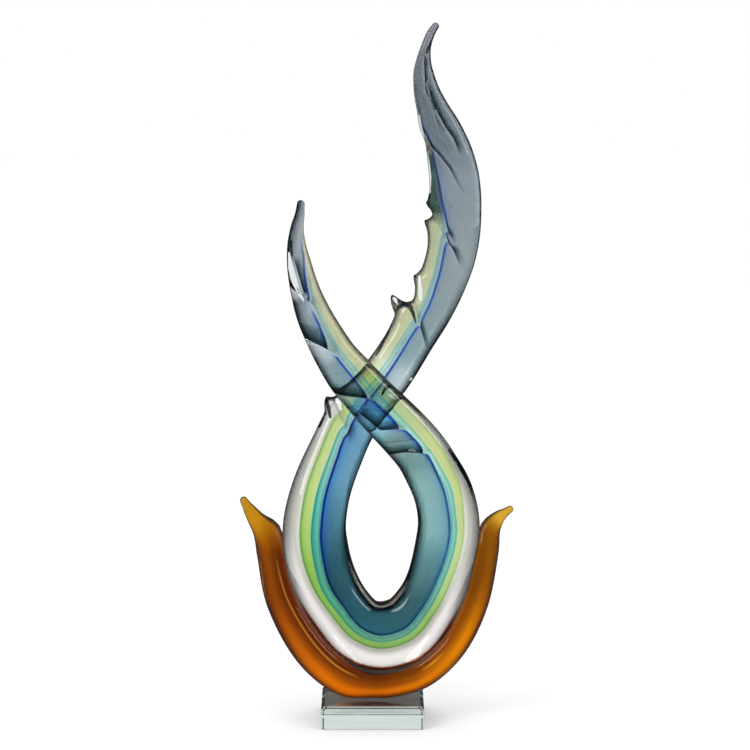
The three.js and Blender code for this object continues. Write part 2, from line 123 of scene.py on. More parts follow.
# Thickness of the colours from the outside inwards, in millimetres: row of the route, clear, lime, aqua
# and cobalt glass. The teal core is all the rest.
VEIL = 0.9
BANDS = [
    (6, 0, 0, 0, 0),
    (8, 1.6, 0.9, 0, 0),
    (9.5, 2.2, 1.9, 1.2, 0.7),
    (11, 3.0, 4.2, 3.0, VEIL),
    (13, 3.0, 4.2, 3.4, VEIL),
    (15, 3.4, 5.0, 4.6, VEIL),
    (17, 5.0, 6.2, 5.0, VEIL),
    (18.5, 6.8, 6.9, 4.5, VEIL),
    (20, 9.5, 7.8, 5.6, VEIL),
    (21, 11.9, 7.7, 6.1, VEIL),
    (22, 12.4, 7.1, 6.1, VEIL),
    (23.4, 13.8, 4.0, 5.7, VEIL),
    (26, 15.0, 4.4, 4.4, VEIL),
    (29, 13.2, 4.3, 4.3, VEIL),
    (30.5, 11.4, 4.5, 4.3, VEIL),
    (31.2, 10.6, 5.0, 4.3, VEIL),
    (32.4, 6.4, 6.2, 5.4, VEIL),
    (33.6, 4.4, 7.5, 6.3, VEIL),
    (36, 4.2, 6.4, 6.0, VEIL),
    (38, 3.4, 5.2, 5.2, VEIL),
    (41, 2.6, 3.6, 3.4, VEIL),
    (42.5, 2.0, 1.9, 1.4, 0.6),
    (43.5, 1.4, 0.8, 0, 0),
    (44.5, 0.8, 0, 0, 0),
    (46, 0, 0, 0, 0),
]

# A colour thinner than this isn't made, and this is the CAD's gap between two colours
THINNEST = 0.5
SEAM_GAP = 0.3

# Seams bow outwards in the middle by this much, or by this share of their inset where it is less
ARCH = 2
ARCH_SHARE = 0.3

# Points along a seam and round the core, the core's least inset as a share of the half width, and how
# much longer the colours' sections are than the casing's
SEAM_POINTS = 7
CORE_SIDES = 40
CORE_INSET = 0.02
BAND_STEP = 1.6

# Leaves: how far the outer edge swells to a lip where the pincers gripped, in millimetres, by row
LEAVES = [
    (5.6, 0), (6.5, 1.5), (7.3, 0.2), (9.2, 0.4), (9.9, 2.2), (10.4, -1.2), (10.75, 3), (11.4, 0.8),
    (12, -0.2), (12.8, 0.6), (13.3, 3.4), (13.7, 0.4), (14.1, -1.8), (14.55, 5), (14.9, 2.2), (15.4, 0.5),
    (16.4, 0), (17.2, 0.4), (17.6, 4.6), (18, 1), (19, 0),
]
LEAF_REACH = 9
LEAF_POWER = 1.5

# Spurs pulled from the lips: row of the route, reach, radius at the foot and lean, in millimetres
SPURS = [
    (9.95, 3.1, 2.6, -0.8),
    (10.8, 4.1, 2.8, -1.4),
    (13.35, 4.5, 3.0, -1.6),
    (14.5, 12.6, 4.6, -3.4),
    (17.6, 6.2, 4.2, -2.0),
]

# Sections are finer within this many metres of a spur, and the other two shape how it leaves the edge
SPUR_ROOM = 0.009
SPUR_FOOT = 1.6
SPUR_POWER = 2.2

# Folds where one leaf lies over the next. Each is the first and last row of the route that it can be
# on, how wide it is against the widest, then points along it: x, height above the film in millimetres,
# and how deep it is there. The lower leaf is on the left of the way that the points run. On the casing
# a fold is painted shade and a painted highlight, with pulled seams and a bump.
FOLDS = [
    (2, 8, 0.22, ((36, 452.6, 0.5), (36.2, 441.4, 1), (37.1, 429.6, 1), (41.1, 421.3, 0.8),
        (46.6, 404, 0.1))),
    (3, 9, 0.3, ((38.2, 435.2, 0.2), (40.6, 426.2, 0.9), (45.2, 415.8, 1), (49.7, 406.8, 1),
        (56.5, 397.1, 0.9), (60.5, 387.3, 0.1))),
    (6, 11, 0.22, ((36.5, 396.3, 1), (45.7, 386.3, 0.8), (53.7, 376.5, 0.5), (62.5, 359.7, 0.05))),
    (9, 13, 0.3, ((41.8, 348.1, 1), (47.7, 338.2, 0.9), (53.6, 330.9, 0.6), (56.6, 325, 0.1))),
    (10, 14, 0.4, ((41, 339.5, 1), (44.8, 340.4, 1), (50, 329.3, 0.9), (56.6, 319, 0.6),
        (61.3, 307.6, 0.05))),
    (13, 17, 0.3, ((20, 280.1, 1), (28.8, 281.9, 1), (32.3, 269.7, 0.9), (37.5, 250.8, 0.2))),
    (16, 19.5, 0.6, ((-26.6, 208.5, 1), (-23, 200.8, 1), (-18.5, 192.4, 0.5), (-17, 184, 0.1))),
    (40, 46, 0.4, ((-54.1, 311.6, 0.4), (-50.6, 299.2, 0.7), (-48.5, 292.3, 0.7), (-46.5, 285.4, 0.3))),
    (38, 46, 0.8, ((-57, 294, 1), (-48.6, 288.1, 1), (-40.9, 281.6, 0.9), (-38.1, 277.1, 0.3))),
    (37, 43, 1, ((-48.8, 259.3, 1), (-38.1, 254.8, 1), (-27.6, 249.3, 0.9))),
    (35, 40, 0.7, ((-24.9, 219, 1), (-14.4, 217.9, 1), (-2.5, 216.6, 0.6))),
    (33, 38, 0.62, ((-6.7, 204, 1), (5.2, 194.2, 1), (19.2, 195.1, 0.9))),
    (32, 36, 0.55, ((12.2, 176.5, 1), (22, 178.6, 1), (35.9, 178, 0.8))),
]

# In millimetres: how far a fold is measured, how far past its ends it fades out, and how far off the next
# one has to be for it to be drawn in full
FOLD_REACH = 24.0
FOLD_END = 5
FOLD_ROOM = 3

# Painted gleams and painted shadows, put into the casing's colour where a leaf's edge turns the light:
# first and last row, strength, and points along the middle of each: x, height above the film, and half
# width in millimetres
GLEAMS = [
    (4, 9.9, 1, ((32.6, 413.1, 0.8), (33.2, 403.4, 2), (35.9, 390.9, 2), (38.6, 380, 1.7), (39.8, 369.4, 1.7),
        (40, 359, 1))),
    (32, 35, 0.17, ((24.6, 179.4, 0.8), (27, 180.3, 2.2), (30.6, 179.4, 1.6))),
    (33, 36, 0.14, ((14.4, 195.2, 0.8), (17.2, 195.9, 1.5))),
    (11.5, 14, 1, ((32.8, 300, 1), (33.5, 290.2, 1.9), (33.6, 281.7, 1.5), (33.8, 276, 0.6))),
    (13.8, 15.2, 0.7, ((13.5, 288.5, 0.8), (15.5, 284, 1.7), (17.5, 280.5, 1))),
    (14, 17, 1, ((27.2, 227.1, 1.5), (27.6, 226.6, 1.5))),
    (16.5, 19, 1, ((-25.8, 213.8, 1), (-23.6, 209.5, 1.8), (-22.4, 205.5, 1))),
    (34, 37, 1, ((2.4, 228.9, 0.8), (5.9, 226.1, 0.9))),
    (34, 37, 1, ((11.5, 219.4, 0.8), (17.8, 214.4, 0.9))),
    (41, 46, 1, ((-58.4, 318, 0.8), (-57.2, 307.8, 2.4), (-55, 299.4, 2.8), (-52.2, 292.4, 1.8),
        (-48.3, 284.7, 0.7))),
]
SHADOWS = [
    (0, 3, 1, ((43, 468.5, 0.4), (40.4, 463.5, 0.9), (38.4, 459, 1.3), (37.6, 456, 0.7))),
    (13, 15.4, 1, ((16.5, 275.5, 1), (19, 278.6, 1.9), (22.5, 280.6, 2.4), (26.5, 278.6, 2.4),
        (28.6, 274, 1.6), (30.5, 267, 0.6))),
    (14.3, 16.8, 0.6, ((14.3, 270, 1.4), (10.8, 260.8, 1.8), (5.9, 250.2, 1.6), (2.5, 244, 0.8))),
    (16.5, 19, 0.9, ((-33, 213, 1.2), (-31.2, 206.5, 2.2), (-30, 200, 1.2))),
    (34, 37, 0.85, ((6.5, 219, 0.9), (8.5, 223, 1.6), (11.5, 225.2, 2), (15, 223.6, 1.6),
        (16.4, 219.6, 0.8))),
    (43, 47, 0.8, ((-54.2, 346, 0.7), (-56.4, 336, 1.3), (-57, 325.7, 1.7), (-56.4, 316, 1))),
]

# The faces curve away at the loop's foot, so the lines are drawn this far inwards there
FOOT_RISE = 2.2

# Cradle: x, height above the film, width and depth in millimetres, from the left horn's point. The strand
# lies in its bed between two rows of the route. The last three lengths are in metres: between sections,
# how far the bed is cut above the cradle, and how close points are when they are merged.
CRADLE_POWER = 2.1
CRADLE_SIDES = 64
BED_POWER = 4.5
BED_START, BED_END = 18, 35
CRADLE_STEP = 0.004
BED_ROOM = 0.01
MERGED = 0.00002
CRADLE = [
    (-91.3, 141.0, 5.4, 6.0),
    (-87.1, 134.0, 8.8, 11.0),
    (-81.8, 126.2, 12.6, 18.0),
    (-74.4, 116.4, 20.2, 25.0),
    (-72.0, 102.9, 20.4, 30.0),
    (-64.0, 69.1, 23.6, 35.0),
    (-41.8, 31.5, 26.8, 37.0),
    (-19.1, 13.6, 27.4, 38.0),
    (2.0, 9.9, 22.2, 38.0),
    (20.0, 11.8, 22.2, 38.0),
    (36.6, 18.0, 22.0, 37.0),
    (57.1, 37.1, 20.8, 35.0),
    (72.6, 67.6, 19.4, 33.0),
    (81.2, 105.4, 16.8, 28.0),
    (83.5, 120.3, 14.6, 20.5),
    (89.2, 128.6, 9.4, 13.0),
    (97.37, 134.7, 4.8, 5.5),
]

# Metres of glass after which a body has the colour in its settings, and the same for the thin veil
BODY_DEPTH = 0.03
VEIL_DEPTH = 0.001

# The drawing on the casing, in millimetres: how far a fold's painted shade, the veil's wash and the painted
# shade of the inner edge reach, how far a fold pulls the seams outwards, and how far the core comes out
# under the crossing
FOLD_SPAN = 12.0
WASH_SPAN = 12.0
EDGE_SPAN = 8.0
SCALLOP = 3.6
CORE_LIFT = 5.0

# The tint counts twice, for the way in and the way out, and this gain keeps the bright tones bright
GAIN = 1.22
GLASS_IOR = 1.5

# What is left of a thing that the skin of the glass only mirrors
MIRRORED = (0.07, 0.07, 0.075)

# Light that has flown further than this, in metres, comes from another piece of glass
AFAR = 0.03

# How often light may meet a surface, and how often one that it goes straight through
BOUNCES, CLEAR_BOUNCES = 48, 32


class Line:
    """A smooth line through points, read by a row number that may fall between two rows."""

    def __init__(self, points):
        first, last = points[0], points[-1]
        self.points = [2 * first - points[1], *points, 2 * last - points[-2]]
        self.rows = len(points)

    def point(self, key):
        i = min(int(key), self.rows - 2)
        a, b, c, d = self.points[i : i + 4]
        reach = [max((q - p).length, 1e-9) ** 0.5 for p, q in ((a, b), (b, c), (c, d))]
        start = (b - a) / reach[0] - (c - a) / (reach[0] + reach[1]) + (c - b) / reach[1]
        end = (c - b) / reach[1] - (d - b) / (reach[1] + reach[2]) + (d - c) / reach[2]
        start, end = start * reach[1], end * reach[1]
        t = key - i
        square = 3 * (c - b) - 2 * start - end
        cube = 2 * (b - c) + start + end
        return b + start * t + square * t * t + cube * t * t * t

    def way(self, key):
        last = self.rows - 1
        low, high = max(key - 0.005, 0), min(key + 0.005, last)
        way = self.point(high) - self.point(low)
        way.y = 0
        return way.normalized()


def slope(rise_before, run_before, rise_after, run_after):
    """Slope at a row between two neighbours: none at a peak, so that nothing swings past it."""
    if run_before == 0 or run_after == 0:
        return 0
    before, after = rise_before / run_before, rise_after / run_after
    return 2 * before * after / (before + after) if before * after > 0 else 0


def along(rows, key):
    """The rows' values at a key between their own, on a curve without kinks."""
    last = len(rows) - 1
    i = 0
    while i < last - 1 and key > rows[i + 1][0]:
        i += 1
    a, b = rows[i], rows[i + 1]
    span = b[0] - a[0]
    t = min(max((key - a[0]) / span, 0), 1)
    before, after = rows[max(i - 1, 0)], rows[min(i + 2, last)]
    values = []
    for c in range(1, len(a)):
        rise = b[c] - a[c]
        slope_in = slope(a[c] - before[c], a[0] - before[0], rise, span)
        slope_out = slope(rise, span, after[c] - b[c], after[0] - b[0])
        cubic = (slope_in + slope_out) * span - 2 * rise
        square = rise - slope_in * span - cubic
        values.append(a[c] + t * (slope_in * span + t * (square + t * cubic)))
    return values


def on_oval(angle, power):
    """Where a squarish oval of half size 1 lies at an angle: across, and front to back."""
    return [math.copysign(abs(part) ** (2 / power), part) for part in (math.cos(angle), math.sin(angle))]


class Station:
    """One section of a bar: where it is, which way it runs, which way is out, and its half sizes."""

    def __init__(self, line, sizes, key):
        self.key = key
        self.centre = line.point(key)
        self.way = line.way(key)
        self.out = Vector((self.way.z, 0, -self.way.x))
        self.half_width, self.half_depth = (size * MM / 2 for size in along(sizes, key))

    def place(self, inset, back):
        """A point of the section from its inset from the outer edge and its distance behind the middle."""
        return self.centre + self.out * (self.half_width - inset) + Vector((0, back, 0))

    def half_depth_at(self, inset, power, skin):
        u = min(abs(inset / self.half_width - 1), 1)
        return max(self.half_depth * (1 - u**power) ** (1 / power) - skin, 0)

    def oval(self, power, count, inner_power=None, grown=0.0):
        """Insets and offsets round the section, from its outer edge over the front and back again."""
        points = []
        for i in range(count):
            angle = -2 * math.pi * i / count
            across, back = on_oval(angle, inner_power if inner_power and math.cos(angle) < 0 else power)
            points.append(((self.half_width + grown) * (1 - across), (self.half_depth + grown) * back))
        return points


STRAND_LINE = Line([Vector((x, side * CROSSING_SHIFT, z + GLASS_FOOT / MM)) * MM for x, z, side, *_ in ROUTE])
STRAND_SIZES = [(i, row[3], row[4]) for i, row in enumerate(ROUTE)]
CRADLE_LINE = Line([Vector((x, 0, z + GLASS_FOOT / MM)) * MM for x, z, *_ in CRADLE])
CRADLE_SIZES = [(i, row[2], row[3]) for i, row in enumerate(CRADLE)]


def strand_at(key):
    return Station(STRAND_LINE, STRAND_SIZES, key)


def cradle_at(key):
    return Station(CRADLE_LINE, CRADLE_SIZES, key)


def seams_at(key):
    """Insets in metres at which lime, aqua, cobalt and core begin, and how thick each colour is."""
    thickness = [max(value, 0) for value in along(BANDS, key)]
    inset = 0
    starts = []
    for value in thickness:
        inset += value + SEAM_GAP * min(1, value / THINNEST)
        starts.append(inset * MM)
    return starts, [value * MM for value in thickness]


def keys_along(line, step, busy=(), busy_step=None, busy_reach=0, arm_step=None):
    """Row numbers about one step apart along a line, closer together near the busy ones and on the arms."""
    last = line.rows - 1
    places = [line.point(key) for key in busy]
    keys = [0.0]
    while keys[-1] < last:
        here = line.point(keys[-1])
        near = any((here - place).length < busy_reach for place in places)
        on_arm = arm_step and not ARMS_END < keys[-1] < ARMS_START
        wanted = busy_step if near else arm_step if on_arm else step
        pace = (line.point(min(keys[-1] + 0.05, last)) - here).length / 0.05
        keys.append(min(keys[-1] + wanted / max(pace, 1e-6), last))
    return keys


def loft(rings):
    """Bridges rings of points into a tube and closes both ends."""
    bm = bmesh.new()
    loops = []
    for ring in rings:
        verts = bmesh.ops.create_circle(bm, segments=len(ring), radius=1)["verts"]
        for vert, point in zip(verts, ring):
            vert.co = point
        loops.append(list({edge for vert in verts for edge in vert.link_edges}))
    for near, far in zip(loops, loops[1:]):
        bmesh.ops.bridge_loops(bm, edges=near + far)
    for end in (loops[0], loops[-1]):
        bmesh.ops.contextual_create(bm, geom=end)
    bmesh.ops.recalc_face_normals(bm, faces=bm.faces)
    return bm


def rounded_end(station, ring, sign, steps=6):
    """Rings that round a drawn point off past its last section."""
    rings = []
    for i in range(1, steps):
        angle = math.pi / 2 * i / (steps - 0.6)
        push = station.way * sign * math.sin(angle) * station.half_width
        rings.append([station.centre + (point - station.centre) * math.cos(angle) + push for point in ring])
    return rings


def with_round_ends(stations, rings):
    start = rounded_end(stations[0], rings[0], -1)[::-1]
    return start + rings + rounded_end(stations[-1], rings[-1], 1)


def finished(name, bm, material, smooth_angle=math.pi):
    """Makes a shown, smooth piece of a bmesh. Edges sharper than the angle stay crisp."""
    for face in bm.faces:
        face.smooth = True
    for edge in bm.edges:
        edge.smooth = len(edge.link_faces) != 2 or edge.calc_face_angle(0) < smooth_angle
    mesh = bpy.data.meshes.new(name)
    bm.to_mesh(mesh)
    bm.free()
    mesh.materials.append(material)
    piece = bpy.data.objects.new(name, mesh)
    bpy.context.scene.collection.objects.link(piece)
    return piece


def add_values(piece, name, values):
    """Stores one number or vector for each vertex, for a pattern that follows the surface."""
    kind = "FLOAT_VECTOR" if isinstance(values[0], Vector) else "FLOAT"
    attribute = piece.data.attributes.new(name, kind, "POINT")
    for item, value in zip(attribute.data, values):
        if kind == "FLOAT":
            item.value = value
        else:
            item.vector = value


def with_alpha(colour):
    """A colour as a socket takes it. A single number is a grey."""
    return (*colour, 1) if isinstance(colour, tuple) else (colour, colour, colour, 1)


class Tree:
    """A short way to write a node tree: add a node with its settings, and join sockets to its inputs."""

    def __init__(self, tree):
        self.tree = tree
        tree.nodes.clear()

    def feed(self, socket, value):
        """Joins an input to an output, or gives it a value."""
        if isinstance(value, bpy.types.NodeSocket):
            self.tree.links.new(value, socket)
        else:
            socket.default_value = value

    def add(self, kind, inputs=None, **settings):
        node = self.tree.nodes.new(kind)
        for name, value in settings.items():
            setattr(node, name, value)
        for name, value in (inputs or {}).items():
            self.feed(node.inputs[name], value)
        return node

    def maths(self, operation, a, b=0.0, clamp=False):
        return self.add("ShaderNodeMath", {0: a, 1: b}, operation=operation, use_clamp=clamp).outputs[0]

    def product(self, first, *others):
        for other in others:
            first = self.maths("MULTIPLY", first, other)
        return first

    def mix(self, factor, a, b, blend="MIX"):
        node = self.add("ShaderNodeMix", data_type="RGBA", blend_type=blend)
        for name, kind, value in (("Factor", "VALUE", factor), ("A", "RGBA", a), ("B", "RGBA", b)):
            socket = next(item for item in node.inputs if item.name == name and item.type == kind)
            fixed = not isinstance(value, bpy.types.NodeSocket)
            self.feed(socket, with_alpha(value) if fixed and kind == "RGBA" else value)
        return next(item for item in node.outputs if item.type == "RGBA")

    def tinted(self, colour, by, share=1.0):
        """A colour multiplied by another, in full or in part."""
        return self.mix(share, colour, by, "MULTIPLY")

    def spread(self, value, low, high, out_low=0.0, out_high=1.0, smooth=False):
        """The value's place between low and high, as a number between two others."""
        kind = "SMOOTHSTEP" if smooth else "LINEAR"
        inputs = {"Value": value, "From Min": low, "From Max": high, "To Min": out_low, "To Max": out_high}
        return self.add("ShaderNodeMapRange", inputs, interpolation_type=kind).outputs["Result"]

    def ramp(self, value, stops, interpolation="LINEAR"):
        """A colour for each value, from stops of a value and a colour."""
        node = self.add("ShaderNodeValToRGB", {"Fac": value})
        node.color_ramp.interpolation = interpolation
        elements = node.color_ramp.elements
        while len(elements) < len(stops):
            elements.new(1)
        for element, (place, colour) in zip(elements, stops):
            element.position = place
            element.color = with_alpha(colour)
        return node.outputs["Color"]

    def level(self, value, stops):
        """A number for each value, from stops of two numbers."""
        return self.add("ShaderNodeRGBToBW", {"Color": self.ramp(value, stops)}).outputs[0]

    def parts(self, vector):
        return self.add("ShaderNodeSeparateXYZ", {0: vector}).outputs

    def number_at(self, name):
        return self.add("ShaderNodeAttribute", attribute_name=name).outputs["Fac"]

    def vector_at(self, name):
        return self.parts(self.add("ShaderNodeAttribute", attribute_name=name).outputs["Vector"])

    def noise(self, scale, detail=2.0):
        place = self.add("ShaderNodeTexCoord").outputs["Object"]
        inputs = {"Vector": place, "Scale": scale, "Detail": detail}
        return self.add("ShaderNodeTexNoise", inputs).outputs["Fac"]

    def facing(self):
        """0 where the surface faces the eye, and 1 where it is seen edge on."""
        return self.add("ShaderNodeLayerWeight", {"Blend": 0.5}).outputs["Facing"]

    def leaving(self):
        """1 where light meets the surface from inside, else 0."""
        return self.add("ShaderNodeNewGeometry").outputs["Backfacing"]

    def from_afar(self, leaving):
        """1 where light enters from a piece of glass further away than AFAR, else 0."""
        path = self.add("ShaderNodeLightPath").outputs
        far = self.product(path["Is Transmission Ray"], self.maths("GREATER_THAN", path["Ray Length"], AFAR))
        return self.maths("SUBTRACT", far, leaving, clamp=True)

    def dimmed(self, path, colour):
        """The colour, but dark where it is only mirrored on the outside of the glass."""
        mirrored = self.maths("SUBTRACT", path["Is Glossy Ray"], path["Is Transmission Ray"], clamp=True)
        return self.tinted(colour, MIRRORED, mirrored)

    def bump(self, height, strength, distance):
        inputs = {"Strength": strength, "Distance": distance, "Height": height}
        return self.add("ShaderNodeBump", inputs).outputs[0]

    def surface(self, shader, volume=None):
        inputs = {"Surface": shader}
        if volume:
            inputs["Volume"] = volume
        self.add("ShaderNodeOutputMaterial", inputs)

    def glass(self, colour, ior, roughness=0.0, clearness=1.0, bump=None, volume=None):
        inputs = {"Base Color": colour, "Roughness": roughness, "IOR": ior, "Transmission Weight": clearness}
        if bump:
            inputs["Normal"] = bump
        self.surface(self.add("ShaderNodeBsdfPrincipled", inputs).outputs[0], volume)


def new_material(name):
    material = bpy.data.materials.new(name)
    material.use_nodes = True
    return material, Tree(material.node_tree)


def linear(red, green, blue):
    """A colour as it is seen, 0 to 255, as the numbers that a shader needs."""
    values = []
    for value in (red, green, blue):
        share = value / 255
        values.append(share / 12.92 if share <= 0.04045 else ((share + 0.055) / 1.055) ** 2.4)
    return tuple(values)


def absorption(tree, colour, depth):
    """Volume absorption that leaves a colour after so many metres of glass."""
    losses = [-math.log(max(value, 1e-4)) / depth for value in colour]
    density = max(losses) * 1.02
    shown = tuple(1 - loss / density for loss in losses)
    return tree.add("ShaderNodeVolumeAbsorption", {"Color": (*shown, 1), "Density": density}).outputs[0]


class ByRow:
    """Colours and levels that change along a bar, from stops at rows of its table."""

    def __init__(self, tree, row, rows):
        self.tree = tree
        self.row = row
        self.last = rows - 1
        self.share = tree.maths("DIVIDE", row, self.last)

    def tones(self, *stops):
        """Colours as they are seen: each stop is a row, then red, green and blue from 0 to 255."""
        return self.tree.ramp(self.share, [(row / self.last, linear(*tone)) for row, *tone in stops])

    def levels(self, *stops):
        return self.tree.level(self.share, [(row / self.last, level) for row, level in stops])


def length(name, description, default, least=0.0):
    return FloatProperty(name=name, description=description, default=default, min=least, unit="LENGTH")


def tone_after(name, millimetres, *tone):
    """The colour that light has after so many millimetres of a glass."""
    return FloatVectorProperty(name=name, description=f"{name} glass after {millimetres} mm",
                               subtype="COLOR", default=linear(*tone), min=0, max=1)


class StrandSettings(bpy.types.PropertyGroup):
    """The striped bar: how finely it is made, and its colours as light leaves them."""

    step: length("Section step", "Distance between the bar's sections", 0.003, 0.0005)
    arm_step: length("Arm step", "Distance between sections where folds cross", 0.0011, 0.0005)
    fine_step: length("Fine step", "Distance between sections at a spur", 0.0005, 0.0002)
    skin: length("Skin", "Clear glass over the colours", 0.00015, 0.00005)
    sides: IntProperty(name="Sides", description="Points round a section", default=88, min=16)
    lime: tone_after("Lime", 30, 240, 248, 232)
    aqua: tone_after("Aqua", 30, 232, 246, 243)
    cobalt: tone_after("Cobalt", 1, 250, 252, 254)
    core: tone_after("Core", 30, 234, 242, 245)


class CradleSettings(bpy.types.PropertyGroup):
    """The amber cradle."""

    amber: tone_after("Amber", 30, 250, 232, 190)
    seat: length("Seat", "Gap between the cradle and the casing", 0.0003, 0.00005)


class StageSettings(bpy.types.PropertyGroup):
    """Floor, light and camera."""

    pitch: FloatProperty(name="Camera pitch", description="How far the camera looks down",
                         default=math.radians(7.4), subtype="ANGLE")
    camera_distance: length("Camera distance", "Camera to the block's middle", 2.3)
    camera_height: length("Camera height", "Camera above the floor", 0.545568)
    camera_aside: length("Camera aside", "Camera to the right of the middle", 0.001688, -1.0)
    lens: FloatProperty(name="Lens", description="Focal length in millimetres", default=158.0, min=1.0)
    floor: length("Floor", "Half width of the floor", 6.0)
    floor_gap: length("Floor gap", "Air under the block, so that its underside shines", 0.0002)


def nearest_on(points, x, height):
    """Distance, signed distance, distance past the end, and the value at the nearest place of a line."""
    best = None
    for (ax, az, a_value), (bx, bz, b_value) in zip(points, points[1:]):
        run_x, run_z = bx - ax, bz - az
        length = math.hypot(run_x, run_z)
        t = ((x - ax) * run_x + (height - az) * run_z) / length**2
        share = min(max(t, 0), 1)
        away = math.hypot(x - ax - share * run_x, height - az - share * run_z)
        if best is None or away < best[0]:
            side = (x - ax) * run_z - (height - az) * run_x
            value = a_value + (b_value - a_value) * share
            best = (away, math.copysign(away, side), abs(t - share) * length, value)
    return best


def fold_at(x, height, key):
    """Signed distance in millimetres across the nearest fold, over its lower leaf, and its strength."""
    found = []
    for first, last, width, points in FOLDS:
        if first <= key <= last:
            away, signed, past, weight = nearest_on(points, x, height)
            found.append((away, signed / width, weight * max(0, 1 - past / FOLD_END)))
    found.sort()
    if not found:
        return FOLD_REACH, 0.0
    nearest = found[0]
    rival = found[1][0] if len(found) > 1 else 2 * FOLD_REACH
    clear = min(max((rival - nearest[0]) / FOLD_ROOM, 0), 1)
    return max(min(nearest[1], FOLD_REACH), -FOLD_REACH), clear * nearest[2]


def strongest(painted_streaks, x, height, key):
    """How far inside the nearest painted streak a place is, from -1 outside to its strength on its middle."""
    most = -1.0
    for first, last, strength, points in painted_streaks:
        if first <= key <= last:
            away, _, _, half_width = nearest_on(points, x, height)
            most = max(most, strength * (1 - away / half_width))
    return most


def swell(inset, lip):
    """How far a point of the section moves out at a leaf's lip, all in millimetres."""
    return lip * max(0, 1 - inset / LEAF_REACH) ** LEAF_POWER


def pull_spurs(points):
    """Draws the spurs out of the casing's points."""
    for key, reach, radius, lean in SPURS:
        station = strand_at(key)
        lip = along(LEAVES, key)[0]
        foot = station.place(-lip * MM, 0)
        for point in points:
            away = (point - foot).length / (radius * MM * SPUR_FOOT)
            if away < 1:
                share = (1 - away * away) ** SPUR_POWER
                point += (station.out * (reach - lip) + station.way * lean * share) * MM * share


def build_casing(settings, material):
    """The casing's surface, with the values from which its material works out each point's colour."""
    busy = [row[0] for row in SPURS]
    keys = keys_along(STRAND_LINE, settings.step, busy, settings.fine_step, SPUR_ROOM, settings.arm_step)
    stations = [strand_at(key) for key in keys]
    rings, insets = [], []
    for station in stations:
        section = station.oval(STRAND_POWER, settings.sides)
        lip = along(LEAVES, station.key)[0]
        rings.append([station.place(inset - swell(inset / MM, lip) * MM, back) for inset, back in section])
        insets.append([inset for inset, _ in section])
    pull_spurs([point for ring in rings for point in ring])
    all_rings = with_round_ends(stations, rings)
    piece = finished("casing_glass", loft(all_rings), material)

    extra = (len(all_rings) - len(rings)) // 2
    insets = [insets[0]] * extra + insets + [insets[-1]] * extra
    stations = [stations[0]] * extra + stations + [stations[-1]] * extra
    values = {name: [] for name in ("inset", "seams", "fold", "row", "painted_streak")}
    for ring, row, station in zip(all_rings, insets, stations):
        rise = FOOT_RISE * max(0, -station.out.z)
        seams = Vector([start / MM + rise for start in seams_at(station.key)[0][:3]])
        for point, inset in zip(ring, row):
            x, height = point.x / MM, (point.z - GLASS_FOOT) / MM
            distance, strength = fold_at(x, height, station.key)
            gleam, shadow = (strongest(painted_streaks, x, height, station.key) for painted_streaks in (GLEAMS, SHADOWS))
            values["inset"].append(inset / MM)
            values["seams"].append(seams)
            values["fold"].append(Vector((distance, strength, 2 * station.half_width / MM)))
            values["row"].append(station.key)
            values["painted_streak"].append(Vector((gleam, shadow, 0)))
    for name, numbers in values.items():
        add_values(piece, name, numbers)
    return piece


def seam_points(station, inset, skin):
    """A seam between two colours from its front end to its back end, bowed outwards in the middle."""
    half = station.half_depth_at(inset, STRAND_POWER, skin)
    bow = min(ARCH * MM, inset * ARCH_SHARE)
    points = []
    for i in range(SEAM_POINTS):
        v = 2 * i / (SEAM_POINTS - 1) - 1
        points.append(station.place(inset - bow * (1 - v * v), v * half))
    return points


def build_band(name, layer, settings, material):
    """One band of colour between two seams."""
    rings = []
    clearance = SEAM_GAP * MM / 4
    for key in keys_along(STRAND_LINE, settings.step * BAND_STEP):
        starts, thickness = seams_at(key)
        if thickness[layer] >= THINNEST * MM:
            station = strand_at(key)
            outer = seam_points(station, starts[layer - 1] + clearance, settings.skin)
            inner = seam_points(station, starts[layer] - clearance, settings.skin)
            rings.append(inner + outer[::-1])
    return finished(name, loft(rings), material, math.radians(50))


def build_core(settings, material):
    """The core, from the last seam to the bar's inner side."""
    stations = [strand_at(key) for key in keys_along(STRAND_LINE, settings.step * BAND_STEP)]
    rings = []
    for station in stations:
        inset = max(seams_at(station.key)[0][3], CORE_INSET * station.half_width)
        u = min(max(inset / station.half_width - 1, -1), 1)
        start = math.acos(-math.copysign(abs(u) ** (STRAND_POWER / 2), u))
        ring = seam_points(station, inset, settings.skin)
        for i in range(1, CORE_SIDES):
            across, back = on_oval(start + (2 * math.pi - 2 * start) * i / CORE_SIDES, STRAND_POWER)
            ring.append(station.place(station.half_width - across * (station.half_width - settings.skin),
                                      back * (station.half_depth - settings.skin)))
        rings.append(ring)
    return finished("core_glass", loft(with_round_ends(stations, rings)), material, math.radians(60))


